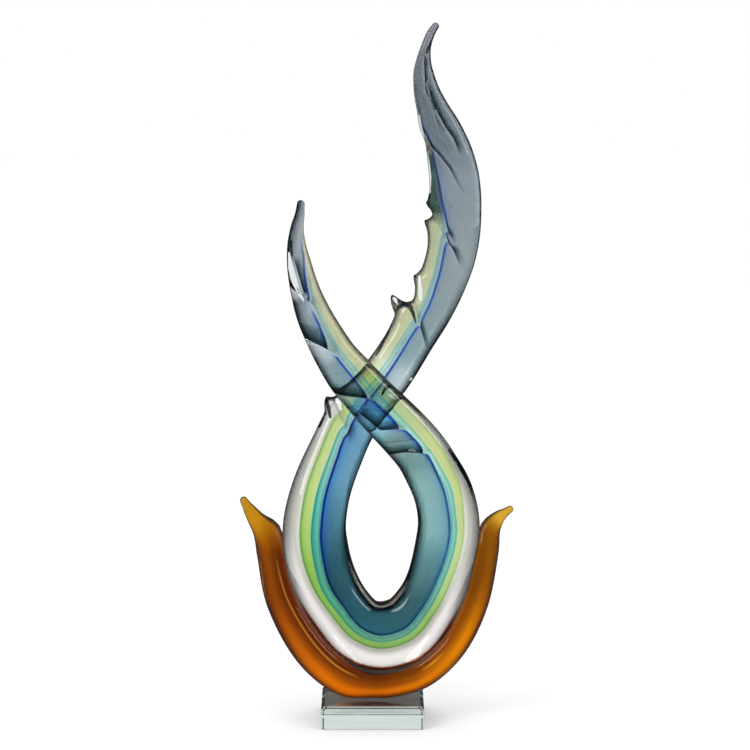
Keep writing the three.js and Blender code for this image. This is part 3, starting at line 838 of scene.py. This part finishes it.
def clear_tint(tree, strand, share):
    """The clear glass from its outer edge inwards, in painted shade that is darkest at the outer edge,
    but bright at the foot and dark at the crossing.
    """
    # Painted light and shade: a shaded and a bright copy of the clear glass, both darker towards the outer
    # edge, mixed by row
    shaded_clear = tree.ramp(share, [
        (0, (0.12, 0.115, 0.115)), (0.13, (0.17, 0.165, 0.165)), (0.2, (0.19, 0.185, 0.18)),
        (0.3, (0.26, 0.255, 0.245)), (0.4, (0.33, 0.325, 0.31)), (0.5, (0.42, 0.415, 0.39)),
        (0.7, (0.58, 0.575, 0.53)), (0.8, (0.68, 0.66, 0.62)), (0.88, (0.8, 0.77, 0.74)),
        (1, (0.68, 0.66, 0.62)),
    ])
    bright = tree.ramp(share, [
        (0, (0.2, 0.19, 0.19)), (0.07, (0.34, 0.32, 0.31)), (0.15, (0.56, 0.53, 0.51)),
        (0.3, (0.82, 0.78, 0.75)), (0.5, (0.92, 0.89, 0.87)), (0.66, (0.9, 0.87, 0.85)),
        (0.82, (0.62, 0.59, 0.57)), (1, (0.46, 0.44, 0.43)),
    ])
    foot = strand.levels((16.5, 0), (18, 0.515), (19.5, 0.156), (21.2, 0.045), (23.2, 1), (28.2, 1), (30, 0))
    clear = tree.mix(foot, shaded_clear, bright)
    # Painted shade over the whole clear band, on the rows where the loop rises to the crossing
    dusky = tree.ramp(share, [
        (0, (0.17, 0.17, 0.172)), (0.25, (0.23, 0.23, 0.235)), (0.5, (0.31, 0.31, 0.315)),
        (0.75, (0.42, 0.42, 0.41)), (1, (0.5, 0.51, 0.48)),
    ])
    dusk = strand.levels((31.2, 0), (32.6, 1), (34.6, 1), (35.2, 0))
    clear = tree.mix(dusk, clear, dusky)
    # Painted shade: the casing's outer edge at the loop's bottom is tinted the amber's dark brown
    amber_shade = strand.levels((22.6, 0), (23.6, 1), (28, 1), (29, 0))
    amber_shade = tree.product(amber_shade, tree.spread(share, 0.1, 0.2, 1.0, 0.0, smooth=True))
    clear = tree.tinted(clear, (0.6, 0.13, 0.04), amber_shade)
    # Painted shade at the crossing, darker towards the outer edge
    crossing = strand.levels((35, 0), (35.3, 1), (37.5, 1), (37.9, 0))
    crossing = tree.product(crossing, tree.spread(share, 0.25, 0.7, 1.0, 0.0, smooth=True))
    clear = tree.tinted(clear, (0.2, 0.24, 0.22), crossing)
    arms_clear = strand.tones(
        (7.2, 226, 220, 196), (8, 88, 116, 112), (10.2, 84, 112, 108), (10.8, 222, 218, 192),
        (15, 232, 226, 204), (18, 255, 255, 255), (34, 255, 255, 255), (36, 236, 230, 208),
        (40, 226, 216, 192),
    )
    return tree.tinted(clear, arms_clear)


def lime_tint(tree, strand, share):
    """The lime glass, with a green line where it begins."""
    # Darker round the loop's bottom: painted shade
    lime = strand.tones(
        (6, 176, 182, 166), (7.6, 80, 100, 92), (10.2, 68, 92, 80), (10.8, 192, 198, 168),
        (15.4, 206, 206, 170), (15.9, 232, 234, 206), (16.8, 232, 236, 200), (17.4, 212, 218, 164),
        (18.6, 212, 222, 164), (19.5, 212, 223, 162), (20.3, 204, 221, 152), (21.2, 184, 214, 130),
        (23, 150, 192, 94), (26, 150, 184, 108), (28, 168, 196, 124), (30, 212, 224, 168),
        (32.5, 218, 222, 160), (34.6, 214, 218, 162), (35.5, 190, 208, 156), (37.2, 186, 206, 156),
        (38, 206, 206, 164), (42, 196, 194, 168),
    )
    lime_edge = tree.ramp(share, [
        (0, (0.28, 0.5, 0.28)), (0.12, (0.36, 0.58, 0.32)), (0.28, (0.72, 0.86, 0.62)),
        (0.6, (0.92, 0.96, 0.88)), (1, 1),
    ])
    green_line = strand.levels(
        (9, 0.102), (16, 0.223), (18.5, 0.831), (23, 1), (28, 0.871), (30, 0.402), (33, 0.578), (36, 0.188),
    )
    return tree.tinted(lime, lime_edge, green_line)


def aqua_tint(tree, strand, share):
    """The aqua glass, with a teal line where it begins."""
    # Darker round the loop's bottom: painted shade
    aqua = strand.tones(
        (6, 172, 190, 184), (7.6, 100, 116, 122), (10.2, 94, 110, 118), (10.8, 174, 194, 188),
        (15.4, 178, 204, 192), (15.9, 214, 230, 222), (16.8, 210, 230, 222), (17.5, 180, 216, 204),
        (19.5, 164, 208, 194), (20.3, 118, 196, 180), (22, 100, 178, 150), (24, 100, 168, 134),
        (26, 124, 174, 142), (28, 116, 172, 148), (30.5, 156, 212, 192), (34, 190, 226, 206),
        (36, 176, 216, 188), (38.5, 184, 206, 192), (42, 176, 190, 182),
    )
    aqua_edge = tree.ramp(share, [
        (0, (0.03, 0.52, 0.55)), (0.14, (0.08, 0.62, 0.66)), (0.3, (0.5, 0.82, 0.85)), (0.6, 1),
    ])
    teal_line = strand.levels(
        (9, 0.156), (16, 0.402), (18, 0.871), (21.5, 1), (23, 0.753), (26, 0.578), (31, 0.61), (33, 0.716),
        (38, 0.515), (42, 0.223),
    )
    return tree.tinted(aqua, aqua_edge, teal_line)


def core_tint(tree, strand, depth):
    """The teal core, with the cobalt veil's dark line where it begins and a blue wash that fades inwards."""
    # Darker round the loop's bottom: painted shade
    core = strand.tones(
        (0, 128, 130, 136), (2, 126, 130, 136), (5, 112, 121, 129), (7.5, 122, 132, 140), (9, 148, 156, 164),
        (12.5, 160, 171, 172), (14.5, 152, 169, 171), (15.5, 158, 180, 184), (15.9, 206, 222, 224),
        (16.8, 200, 220, 226), (17.4, 134, 176, 194), (18.2, 116, 166, 196), (19.6, 116, 168, 190),
        (20.5, 84, 134, 150), (22.3, 54, 98, 108), (23.5, 46, 92, 102), (26, 50, 98, 110), (28, 60, 98, 102),
        (29.5, 96, 140, 142), (30.7, 144, 186, 184), (32.6, 146, 188, 186), (33.5, 128, 164, 160),
        (34.4, 120, 152, 150), (35.3, 128, 160, 158), (35.75, 124, 196, 218), (37, 134, 196, 216),
        (37.7, 142, 168, 174), (39.5, 156, 172, 176), (41.5, 144, 156, 161), (46, 172, 178, 182),
    )
    strength = strand.levels(
        (5, 0), (7, 0.15), (8.5, 0.45), (12, 0.5), (15, 0.4), (17.5, 0.9), (21.5, 1), (23, 0.9), (27, 0.4),
        (29, 0.7), (32.5, 0.7), (33.2, 0.4), (34.9, 0.4), (35.4, 0.9), (36, 1), (37, 1), (38, 0.4), (43, 0.1),
        (45, 0),
    )
    fade = tree.level(tree.spread(depth, 0.0, WASH_SPAN), [
        (0, 1), (0.12, 0.85), (0.28, 0.5), (0.6, 0.15), (1, 0),
    ])
    wash_tone = strand.tones(
        (8, 74, 96, 136), (9.5, 74, 100, 162), (12, 78, 110, 164), (15, 90, 130, 180), (17, 24, 96, 176),
        (19.6, 24, 112, 196), (21.5, 8, 78, 166), (23, 10, 58, 90), (26, 56, 124, 144), (28.8, 46, 96, 122),
        (30, 62, 132, 172), (33, 44, 118, 172), (36, 30, 110, 190), (38, 80, 120, 170),
    )
    core = tree.mix(tree.product(fade, strength), core, wash_tone)
    line_tone = strand.tones(
        (9, 44, 66, 108), (10.5, 52, 80, 150), (15, 44, 92, 190), (17, 10, 50, 150), (18.5, 0, 34, 120),
        (21.5, 0, 38, 124), (23, 0, 44, 78), (26, 10, 68, 92), (28, 18, 74, 100), (30, 50, 110, 152),
        (33, 24, 82, 142), (36, 20, 80, 180), (40, 44, 88, 180), (43, 60, 84, 150),
    )
    line = tree.spread(depth, 1.2, 1.9, 1.0, 0.0, smooth=True)
    return tree.mix(tree.product(line, tree.spread(strength, 0.0, 0.12)), core, line_tone)


def with_inner_edge(tree, strand, core, inner):
    """The core with painted shade along its inner edge: a sharp dark line with a painted highlight beside it
    on the tall arm, a soft one below, and at the foot a sill in painted light and shade.
    """
    crisp = strand.levels((17, 0), (18.5, 0.871), (20.5, 0.871), (22, 0))
    inner = tree.product(inner, tree.maths("ADD", crisp, 1.0))
    share = tree.spread(inner, 0.0, EDGE_SPAN)
    # Painted shade: darker towards the inner edge
    edge = tree.ramp(share, [
        (0, (0.004, 0.005, 0.006)), (0.14, (0.02, 0.026, 0.03)), (0.26, (0.16, 0.18, 0.2)),
        (0.5, (0.55, 0.58, 0.6)), (0.9, 1),
    ])
    # The sill: pale, then a dark line, painted light and shade where the hole's inner face shows at the foot
    sill = tree.ramp(share, [
        (0, (0.5, 0.46, 0.42)), (0.25, (0.3, 0.28, 0.25)), (0.36, (0.03, 0.035, 0.035)),
        (0.5, (0.03, 0.05, 0.06)), (0.62, (0.5, 0.6, 0.65)), (0.85, 1),
    ])
    # On the tall arm: a sharp dark line of painted shade, then a painted highlight brighter than the core
    drawn = tree.ramp(share, [
        (0, (0.02, 0.02, 0.025)), (0.07, (0.06, 0.065, 0.07)), (0.14, (0.6, 0.62, 0.63)), (0.22, 1.35),
        (0.36, 1.2), (0.7, 1),
    ])
    edge = tree.mix(tree.spread(strand.row, 12.0, 14.5), drawn, edge)
    bottom = strand.levels((22.4, 0), (23.6, 1), (27.8, 1), (28.8, 0))
    sill = tree.tinted(sill, core, tree.spread(inner, 2.0, 3.4, smooth=True))
    return tree.mix(bottom, tree.tinted(core, edge), sill)


def with_folds(tree, strand, tint, distance, strength):
    """The tint with painted shade on each fold's underside and a painted highlight on its lip."""
    # Painted shade under each fold
    shade = tree.ramp(tree.spread(distance, -FOLD_SPAN, FOLD_SPAN), [
        (0, 1), (0.08, (0.7, 0.78, 0.8)), (0.14, (0.5, 0.58, 0.6)), (0.21, (0.35, 0.43, 0.44)),
        (0.31, (0.22, 0.3, 0.31)), (0.39, (0.08, 0.13, 0.14)), (0.47, (0.05, 0.09, 0.1)),
        (0.495, (0.02, 0.04, 0.05)), (0.505, (0.1, 0.12, 0.13)), (0.515, 1),
    ])
    tint = tree.tinted(tint, shade, tree.spread(strength, 0.0, 0.5))
    # Painted highlight on each fold's lip
    glow = tree.level(tree.spread(distance, 0.0, FOLD_SPAN), [
        (0.02, 0), (0.05, 0.75), (0.14, 0.5), (0.5, 0.35), (1, 0),
    ])
    share_of_glow = strand.levels((12, 0.402), (33, 0.102), (35.2, 0.188), (38, 1))
    return tree.mix(tree.product(glow, strength, share_of_glow), tint, linear(232, 238, 240))


def casing_material():
    """The colours that the eye sees. They are taken at the casing's surface, from values in the mesh in
    millimetres: how far in a point lies, where the seams are, how far off the next fold is and which row."""
    material, tree = new_material("striped_glass")
    inset = tree.number_at("inset")
    lime_seam, aqua_seam, veil_seam = tree.vector_at("seams")
    distance, strength, width = tree.vector_at("fold")
    strand = ByRow(tree, tree.number_at("row"), len(ROUTE))

    # Near a fold the seams are drawn outwards, the more so deeper in
    over = tree.maths("MAXIMUM", distance, 0.0)
    under = tree.maths("MAXIMUM", tree.product(distance, -1.0), 0.0)
    reach = tree.maths("ADD", tree.product(over, 0.25), tree.product(under, 0.2))
    near = tree.maths("EXPONENT", tree.product(reach, -1.0))
    deep = tree.spread(inset, 1.0, 14.0, 0.1, 1.0)
    past = tree.maths("SUBTRACT", inset, tree.product(near, strength, SCALLOP, deep))

    # The core comes further out where the strand rises to the crossing
    lift = strand.levels(
        (31.8, 0), (32.3, 0.12), (32.75, 0.36), (33.25, 0.64), (33.8, 0.8), (34.5, 0.72), (35.2, 0.48),
        (36, 0.3), (37, 0),
    )
    core_seam = tree.maths("SUBTRACT", veil_seam, tree.product(lift, CORE_LIFT))

    def beyond(seam, softness=0.25):
        ahead = tree.maths("DIVIDE", tree.maths("SUBTRACT", past, seam), softness)
        return tree.spread(ahead, -1.0, 1.0, smooth=True)

    arms = strand.levels((15.5, 1), (19, 0), (32, 0), (36, 1))
    core = core_tint(tree, strand, tree.maths("SUBTRACT", past, core_seam))
    core = with_inner_edge(tree, strand, core, tree.maths("SUBTRACT", width, inset))
    tint = clear_tint(tree, strand, tree.spread(past, 0.0, lime_seam))
    lime = lime_tint(tree, strand, tree.spread(past, lime_seam, aqua_seam))
    aqua = aqua_tint(tree, strand, tree.spread(past, aqua_seam, core_seam))
    tint = tree.mix(beyond(lime_seam, tree.spread(arms, 0.0, 1.0, 0.3, 1.8)), tint, lime)
    tint = tree.mix(beyond(aqua_seam), tint, aqua)
    in_core = beyond(core_seam)
    tint = tree.mix(in_core, tint, core)
    in_core = tree.product(strength, tree.spread(in_core, 0.0, 1.0, 0.12, 1.0))
    tint = with_folds(tree, strand, tint, distance, in_core)
    # Painted shadows and painted highlights, from the SHADOWS and GLEAMS tables
    gleam, shadow, _ = tree.vector_at("painted_streak")
    tint = tree.mix(tree.spread(shadow, 0.0, 0.5, 0.0, 0.97, smooth=True), tint, (0.02, 0.03, 0.035))
    tint = tree.mix(tree.spread(gleam, 0.0, 0.45, smooth=True), tint, (0.96, 0.99, 1.0))

    # All the colour is taken on the way in, so that the bands stay sharp through the thick glass
    # Painted shade where the glass is seen edge on, held back on some rows by firmness
    edge_on_shade = tree.ramp(tree.facing(), [
        (0.45, 1), (0.58, (0.8, 0.79, 0.8)), (0.68, (0.3, 0.3, 0.31)), (0.76, (0.05, 0.05, 0.055)),
        (0.85, (0.01, 0.01, 0.012)), (1, (0.004, 0.004, 0.005)),
    ])
    firmness = strand.levels(
        (21.5, 1), (23, 0.515), (28, 0.515), (30, 1), (31.5, 0.716), (32.5, 0.188), (34.5, 0.188), (36, 1),
    )
    leaving = tree.leaving()
    tint = tree.tinted(tree.tinted(tint, tint), GAIN)
    tint = tree.tinted(tree.mix(leaving, tint, 0.82), tree.mix(firmness, 1, edge_on_shade))
    tint = tree.mix(tree.from_afar(leaving), tint, (0.8, 0.81, 0.8))

    height = tree.ramp(tree.spread(distance, -FOLD_SPAN, FOLD_SPAN), [
        (0, 0.5), (0.38, 0.7), (0.47, 0.66), (0.51, 0.1), (0.58, 0.3), (0.8, 0.5), (1, 0.5),
    ], "B_SPLINE")
    raised = tree.product(tree.maths("SUBTRACT", height, 0.5), strength)
    raised = tree.maths("ADD", raised, tree.product(tree.noise(14.0, 1.0), 0.35))
    tree.glass(tint, GLASS_IOR, bump=tree.bump(raised, 0.6, 0.004))
    return material


def body_material(name, colour, depth):
    """Colour inside the bar: it bends nothing and only takes light away as the path grows."""
    material, tree = new_material(name)
    mottle = tree.ramp(tree.noise(40.0), [(0.3, 0.97), (0.7, 1)])
    tree.glass(mottle, 1.0, volume=absorption(tree, colour, depth))
    return material


def build_cradle(settings, strand, material):
    """The cradle: a bar ground flat underneath, with a bed in which the strand lies."""
    stations = [cradle_at(key) for key in keys_along(CRADLE_LINE, CRADLE_STEP)]
    rings = [[station.place(*point) for point in station.oval(CRADLE_POWER, CRADLE_SIDES, BED_POWER)]
             for station in stations]
    bm = loft(with_round_ends(stations, rings))
    cut = bmesh.ops.bisect_plane(bm, geom=bm.verts[:] + bm.edges[:] + bm.faces[:],
                                 plane_co=(0, 0, GLASS_FOOT), plane_no=(0, 0, -1), clear_outer=True)
    edges = [item for item in cut["geom_cut"] if isinstance(item, bmesh.types.BMEdge)]
    bmesh.ops.edgeloop_fill(bm, edges=edges)
    bmesh.ops.recalc_face_normals(bm, faces=bm.faces)
    bar = finished("cradle_glass", bm, material)

    rings = []
    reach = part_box("amber_cradle")[1].z + BED_ROOM
    for key in keys_along(STRAND_LINE, strand.step):
        station = strand_at(key)
        if station.centre.z <= reach and BED_START < key < BED_END:
            section = station.oval(STRAND_POWER, strand.sides, grown=settings.seat)
            rings.append([station.place(inset - settings.seat, back) for inset, back in section])
    bed = finished("cradle_bed", loft(rings), material)

    cut = bar.modifiers.new("bed", "BOOLEAN")
    cut.operation = "DIFFERENCE"
    cut.solver = "EXACT"
    cut.object = bed
    depsgraph = bpy.context.evaluated_depsgraph_get()
    mesh = bpy.data.meshes.new_from_object(bar.evaluated_get(depsgraph))
    bpy.data.objects.remove(bed)
    bpy.data.objects.remove(bar)
    bm = bmesh.new()
    bm.from_mesh(mesh)
    bmesh.ops.remove_doubles(bm, verts=bm.verts, dist=MERGED)
    piece = finished("cradle_glass", bm, material, math.radians(35))

    fine = [cradle_at(key) for key in keys_along(CRADLE_LINE, CRADLE_STEP / 4)]
    finder = KDTree(len(fine))
    for i, station in enumerate(fine):
        finder.insert((station.centre.x, 0, station.centre.z), i)
    finder.balance()
    places = []
    for vert in piece.data.vertices:
        station = fine[finder.find((vert.co.x, 0, vert.co.z))[1]]
        across = (vert.co - station.centre).dot(station.out)
        outer, inner = station.half_width - across, station.half_width + across
        places.append(Vector((station.key, max(outer / MM, 0), inner / MM)))
    add_values(piece, "place", places)
    return piece


def amber_material(settings):
    """Amber glass: gold on its outer side and darker brown in painted shade on its inner side, with painted
    dark edges and two painted highlights as light lines.
    """
    material, tree = new_material("amber_glass")
    row, outer, inner = tree.vector_at("place")
    cradle = ByRow(tree, row, len(CRADLE))
    # Lit and shaded copies of the amber by row, mixed from the outer side to the inner side: painted light
    # and shade
    bright = cradle.tones(
        (0, 190, 140, 30), (2, 206, 150, 26), (3.2, 176, 112, 10), (4, 156, 88, 3), (5, 160, 84, 4),
        (5.8, 210, 116, 6), (6.5, 240, 134, 6), (8, 224, 120, 4), (10, 246, 150, 4), (11.4, 240, 156, 4),
        (12.4, 154, 96, 2), (13.4, 142, 90, 8), (14.2, 164, 110, 18), (15, 224, 180, 62), (16, 214, 168, 56),
    )
    dark = cradle.tones(
        (0, 190, 140, 30), (2, 200, 146, 26), (3.2, 140, 84, 8), (4, 80, 30, 3), (5.5, 76, 28, 4),
        (8, 44, 16, 4), (10, 64, 28, 4), (11.5, 100, 44, 4), (12.4, 106, 60, 2), (14, 136, 86, 8),
        (15, 218, 174, 60), (16, 212, 164, 54),
    )
    gold = cradle.levels((4, 0.4), (5.5, 0.3), (8, 0.16), (9.6, 0.2), (10.6, 0.5))
    share = tree.maths("DIVIDE", outer, tree.maths("ADD", outer, tree.maths("MAXIMUM", inner, 0.0)))
    base = tree.mix(tree.spread(share, 0.31, 0.56, smooth=True), bright, tree.mix(gold, dark, bright))
    base = tree.mix(tree.spread(share, 0.46, 0.82), base, dark)
    # Painted shade: dark lines along both edges, weaker at the horns
    edge = tree.ramp(share, [
        (0, (0.05, 0.04, 0.04)), (0.05, (0.2, 0.18, 0.2)), (0.13, (0.5, 0.5, 0.6)), (0.26, 1), (0.88, 1),
        (0.97, (0.35, 0.3, 0.3)), (1, (0.1, 0.08, 0.08)),
    ])
    thick = tree.maths("MINIMUM", tree.spread(row, 2.0, 3.4), tree.spread(row, 13.6, 14.6, 1.0, 0.0))
    base = tree.tinted(base, edge, tree.spread(thick, 0.0, 1.0, 0.35, 1.0))
    # Two painted highlights: pale lines 6.6 mm from the inner side, on the left and briefly on the right
    lit = cradle.levels((4, 0), (4.6, 1), (6.6, 1), (7.4, 0), (10, 0), (10.4, 0.8), (10.8, 0))
    away = tree.maths("ABSOLUTE", tree.maths("SUBTRACT", inner, 6.6))
    base = tree.mix(tree.product(lit, tree.spread(away, 0.2, 0.9, 1.0, 0.0)), base, (1.0, 0.88, 0.82))
    # Painted shade where the amber is seen edge on
    edge_on_shade = tree.ramp(tree.facing(), [
        (0.4, 1), (0.62, (0.6, 0.55, 0.5)), (0.78, (0.1, 0.08, 0.07)), (1, (0.01, 0.006, 0.004)),
    ])
    base = tree.mix(tree.from_afar(tree.leaving()), tree.tinted(base, edge_on_shade), (0.8, 0.6, 0.4))
    tree.glass(base, GLASS_IOR, bump=tree.bump(tree.noise(12.0, 1.0), 0.4, 0.002),
               volume=absorption(tree, settings.amber, BODY_DEPTH))
    return material


def crystal_material():
    """Clear crystal. Its sides, its bevel and its upper face each show the studio in their own tone, which is
    painted light: the upper face is painted darker.
    """
    material, tree = new_material("crystal")
    up = tree.parts(tree.add("ShaderNodeTexCoord").outputs["Normal"])[2]
    side, bevel = linear(214, 225, 221), linear(226, 236, 233)
    # Painted light: a tone by the way each face points, darker on the upper face
    tone = tree.ramp(up, [
        (0.4, side), (0.6, bevel), (0.8, bevel), (0.92, linear(150, 145, 141)), (1, linear(146, 140, 136)),
    ])
    tree.glass(tone, 1.52, roughness=tree.spread(tree.noise(30.0, 3.0), 0.3, 0.8, 0.0, 0.03))
    return material


def adhesive_material():
    material, tree = new_material("adhesive")
    tone = tree.ramp(tree.noise(60.0, 3.0), [(0.3, linear(190, 188, 178)), (0.7, linear(214, 212, 204))])
    tree.glass(tone, 1.48, roughness=0.15, clearness=0.6)
    return material


def add_floor(settings):
    bm = bmesh.new()
    bmesh.ops.create_grid(bm, x_segments=1, y_segments=1, size=settings.floor)
    bmesh.ops.translate(bm, verts=bm.verts, vec=(0, 0, -settings.floor_gap))
    material, tree = new_material("white_floor")
    path = tree.add("ShaderNodeLightPath").outputs
    tone = tree.ramp(tree.noise(3.0), [(0.3, 0.97), (0.7, 0.985)])
    tree.surface(tree.add("ShaderNodeBsdfPrincipled", {
        "Base Color": tree.dimmed(path, tone),
        "Roughness": 0.9,
        "Specular IOR Level": 0.0,
        "Emission Color": (1, 1, 1, 1),
        "Emission Strength": tree.product(path["Is Camera Ray"], 0.05),
    }).outputs[0])
    finished("floor", bm, material)


def add_world():
    """White all round, and darker on the diagonals, which only the glass shows."""
    world = bpy.data.worlds.new("studio")
    bpy.context.scene.world = world
    world.use_nodes = True
    tree = Tree(world.node_tree)
    way = tree.parts(tree.add("ShaderNodeTexCoord").outputs["Generated"])
    diagonal = tree.product(tree.maths("ABSOLUTE", way[0]), tree.maths("ABSOLUTE", way[1]), 2.0)
    shade = tree.ramp(diagonal, [(0, 1), (0.7, 0.96), (0.92, (0.7, 0.7, 0.71)), (1, (0.5, 0.5, 0.52))])
    path = tree.add("ShaderNodeLightPath").outputs
    seen = tree.maths("MAXIMUM", path["Is Camera Ray"], path["Is Diffuse Ray"])
    colour = tree.mix(seen, tree.dimmed(path, shade), 1)
    background = tree.add("ShaderNodeBackground", {"Color": colour, "Strength": 1.0})
    tree.add("ShaderNodeOutputWorld", {"Surface": background.outputs[0]})


def add_lamp(name, place, aim, size, power):
    light = bpy.data.lights.new(name, "AREA")
    light.shape = "RECTANGLE"
    light.size, light.size_y = size
    light.energy = power
    lamp = bpy.data.objects.new(name, light)
    lamp.location = place
    lamp.rotation_euler = (Vector(aim) - Vector(place)).to_track_quat("-Z", "Y").to_euler()
    bpy.context.scene.collection.objects.link(lamp)


def add_camera(settings):
    data = bpy.data.cameras.new("camera")
    data.lens = settings.lens
    data.sensor_width = 36
    camera = bpy.data.objects.new("camera", data)
    camera.location = (settings.camera_aside, -settings.camera_distance, settings.camera_height)
    camera.rotation_euler = (math.pi / 2 - settings.pitch, 0, 0)
    bpy.context.scene.collection.objects.link(camera)
    bpy.context.scene.camera = camera


def dress(piece, slot, *nodes):
    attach(piece, "root")
    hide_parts(*nodes)


class ORNAMENT_OT_casing(bpy.types.Operator):
    """Makes the clear casing with its spurs, the outer surface of the striped bar"""

    bl_idname = "ornament.casing"
    bl_label = "Clear casing"

    def execute(self, context):
        settings = context.scene.ornament_strand
        dress(build_casing(settings, casing_material()), "clear_glass", "clear_casing")
        return {"FINISHED"}


class ORNAMENT_OT_colours(bpy.types.Operator):
    """Makes the lime, aqua, cobalt and teal glass inside the casing"""

    bl_idname = "ornament.colours"
    bl_label = "Colours of the bar"

    def execute(self, context):
        settings = context.scene.ornament_strand
        lime = body_material("lime_glass", settings.lime, BODY_DEPTH)
        dress(build_band("lime_glass", 1, settings, lime), "lime_glass", "lime_layer")
        aqua = body_material("aqua_glass", settings.aqua, BODY_DEPTH)
        dress(build_band("aqua_glass", 2, settings, aqua), "aqua_glass", "aqua_layer")
        cobalt = body_material("cobalt_glass", settings.cobalt, VEIL_DEPTH)
        dress(build_band("cobalt_glass", 3, settings, cobalt), "cobalt_glass", "cobalt_veil")
        core = body_material("teal_glass", settings.core, BODY_DEPTH)
        dress(build_core(settings, core), "teal_glass", "teal_core")
        return {"FINISHED"}


class ORNAMENT_OT_cradle(bpy.types.Operator):
    """Makes the amber cradle with its two horns"""

    bl_idname = "ornament.cradle"
    bl_label = "Amber cradle"

    def execute(self, context):
        settings = context.scene.ornament_cradle
        material = amber_material(settings)
        dress(build_cradle(settings, context.scene.ornament_strand, material), "amber_glass", "amber_cradle")
        return {"FINISHED"}


class ORNAMENT_OT_block(bpy.types.Operator):
    """Finishes the crystal block and the adhesive film, whose CAD shapes stay"""

    bl_idname = "ornament.block"
    bl_label = "Block and film"

    def execute(self, context):
        for node, material in (("base_block", crystal_material()), ("glue_film", adhesive_material())):
            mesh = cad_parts[node].data
            mesh.materials.clear()
            mesh.materials.append(material)
        return {"FINISHED"}


class ORNAMENT_OT_stage(bpy.types.Operator):
    """Makes the floor, the light and the camera"""

    bl_idname = "ornament.stage"
    bl_label = "Stage"

    def execute(self, context):
        scene = context.scene
        settings = scene.ornament_stage
        add_floor(settings)
        add_world()
        add_lamp("key_softbox", (-1.6, -1.5, 1.6), (0, 0, 0.25), (0.5, 1.4), 14)
        add_lamp("fill_softbox", (1.8, -1.2, 1.2), (0, 0, 0.25), (0.4, 1.0), 6)
        add_camera(settings)
        scene.view_settings.view_transform = "Standard"
        scene.cycles.max_bounces = BOUNCES
        scene.cycles.transmission_bounces = BOUNCES
        scene.cycles.transparent_max_bounces = CLEAR_BOUNCES
        return {"FINISHED"}


class ORNAMENT_PT_panel(bpy.types.Panel):
    """Lists the steps that make the ornament"""

    bl_idname = "ORNAMENT_PT_panel"
    bl_label = "Glass ornament"
    bl_space_type = "VIEW_3D"
    bl_region_type = "UI"
    bl_category = "Ornament"

    def draw(self, context):
        for operator in OPERATORS:
            self.layout.operator(operator.bl_idname)


OPERATORS = (
    ORNAMENT_OT_casing,
    ORNAMENT_OT_colours,
    ORNAMENT_OT_cradle,
    ORNAMENT_OT_block,
    ORNAMENT_OT_stage,
)
SETTINGS = {
    "ornament_strand": StrandSettings,
    "ornament_cradle": CradleSettings,
    "ornament_stage": StageSettings,
}


def register():
    for kind in (*SETTINGS.values(), *OPERATORS, ORNAMENT_PT_panel):
        bpy.utils.register_class(kind)
    for name, kind in SETTINGS.items():
        setattr(bpy.types.Scene, name, PointerProperty(type=kind))


def unregister():
    for name in SETTINGS:
        delattr(bpy.types.Scene, name)
    for kind in (ORNAMENT_PT_panel, *OPERATORS, *SETTINGS.values()):
        bpy.utils.unregister_class(kind)


def main():
    register()
    bpy.ops.ornament.casing()
    bpy.ops.ornament.colours()
    bpy.ops.ornament.cradle()
    bpy.ops.ornament.block()
    bpy.ops.ornament.stage()


if __name__ == "__main__":
    main()
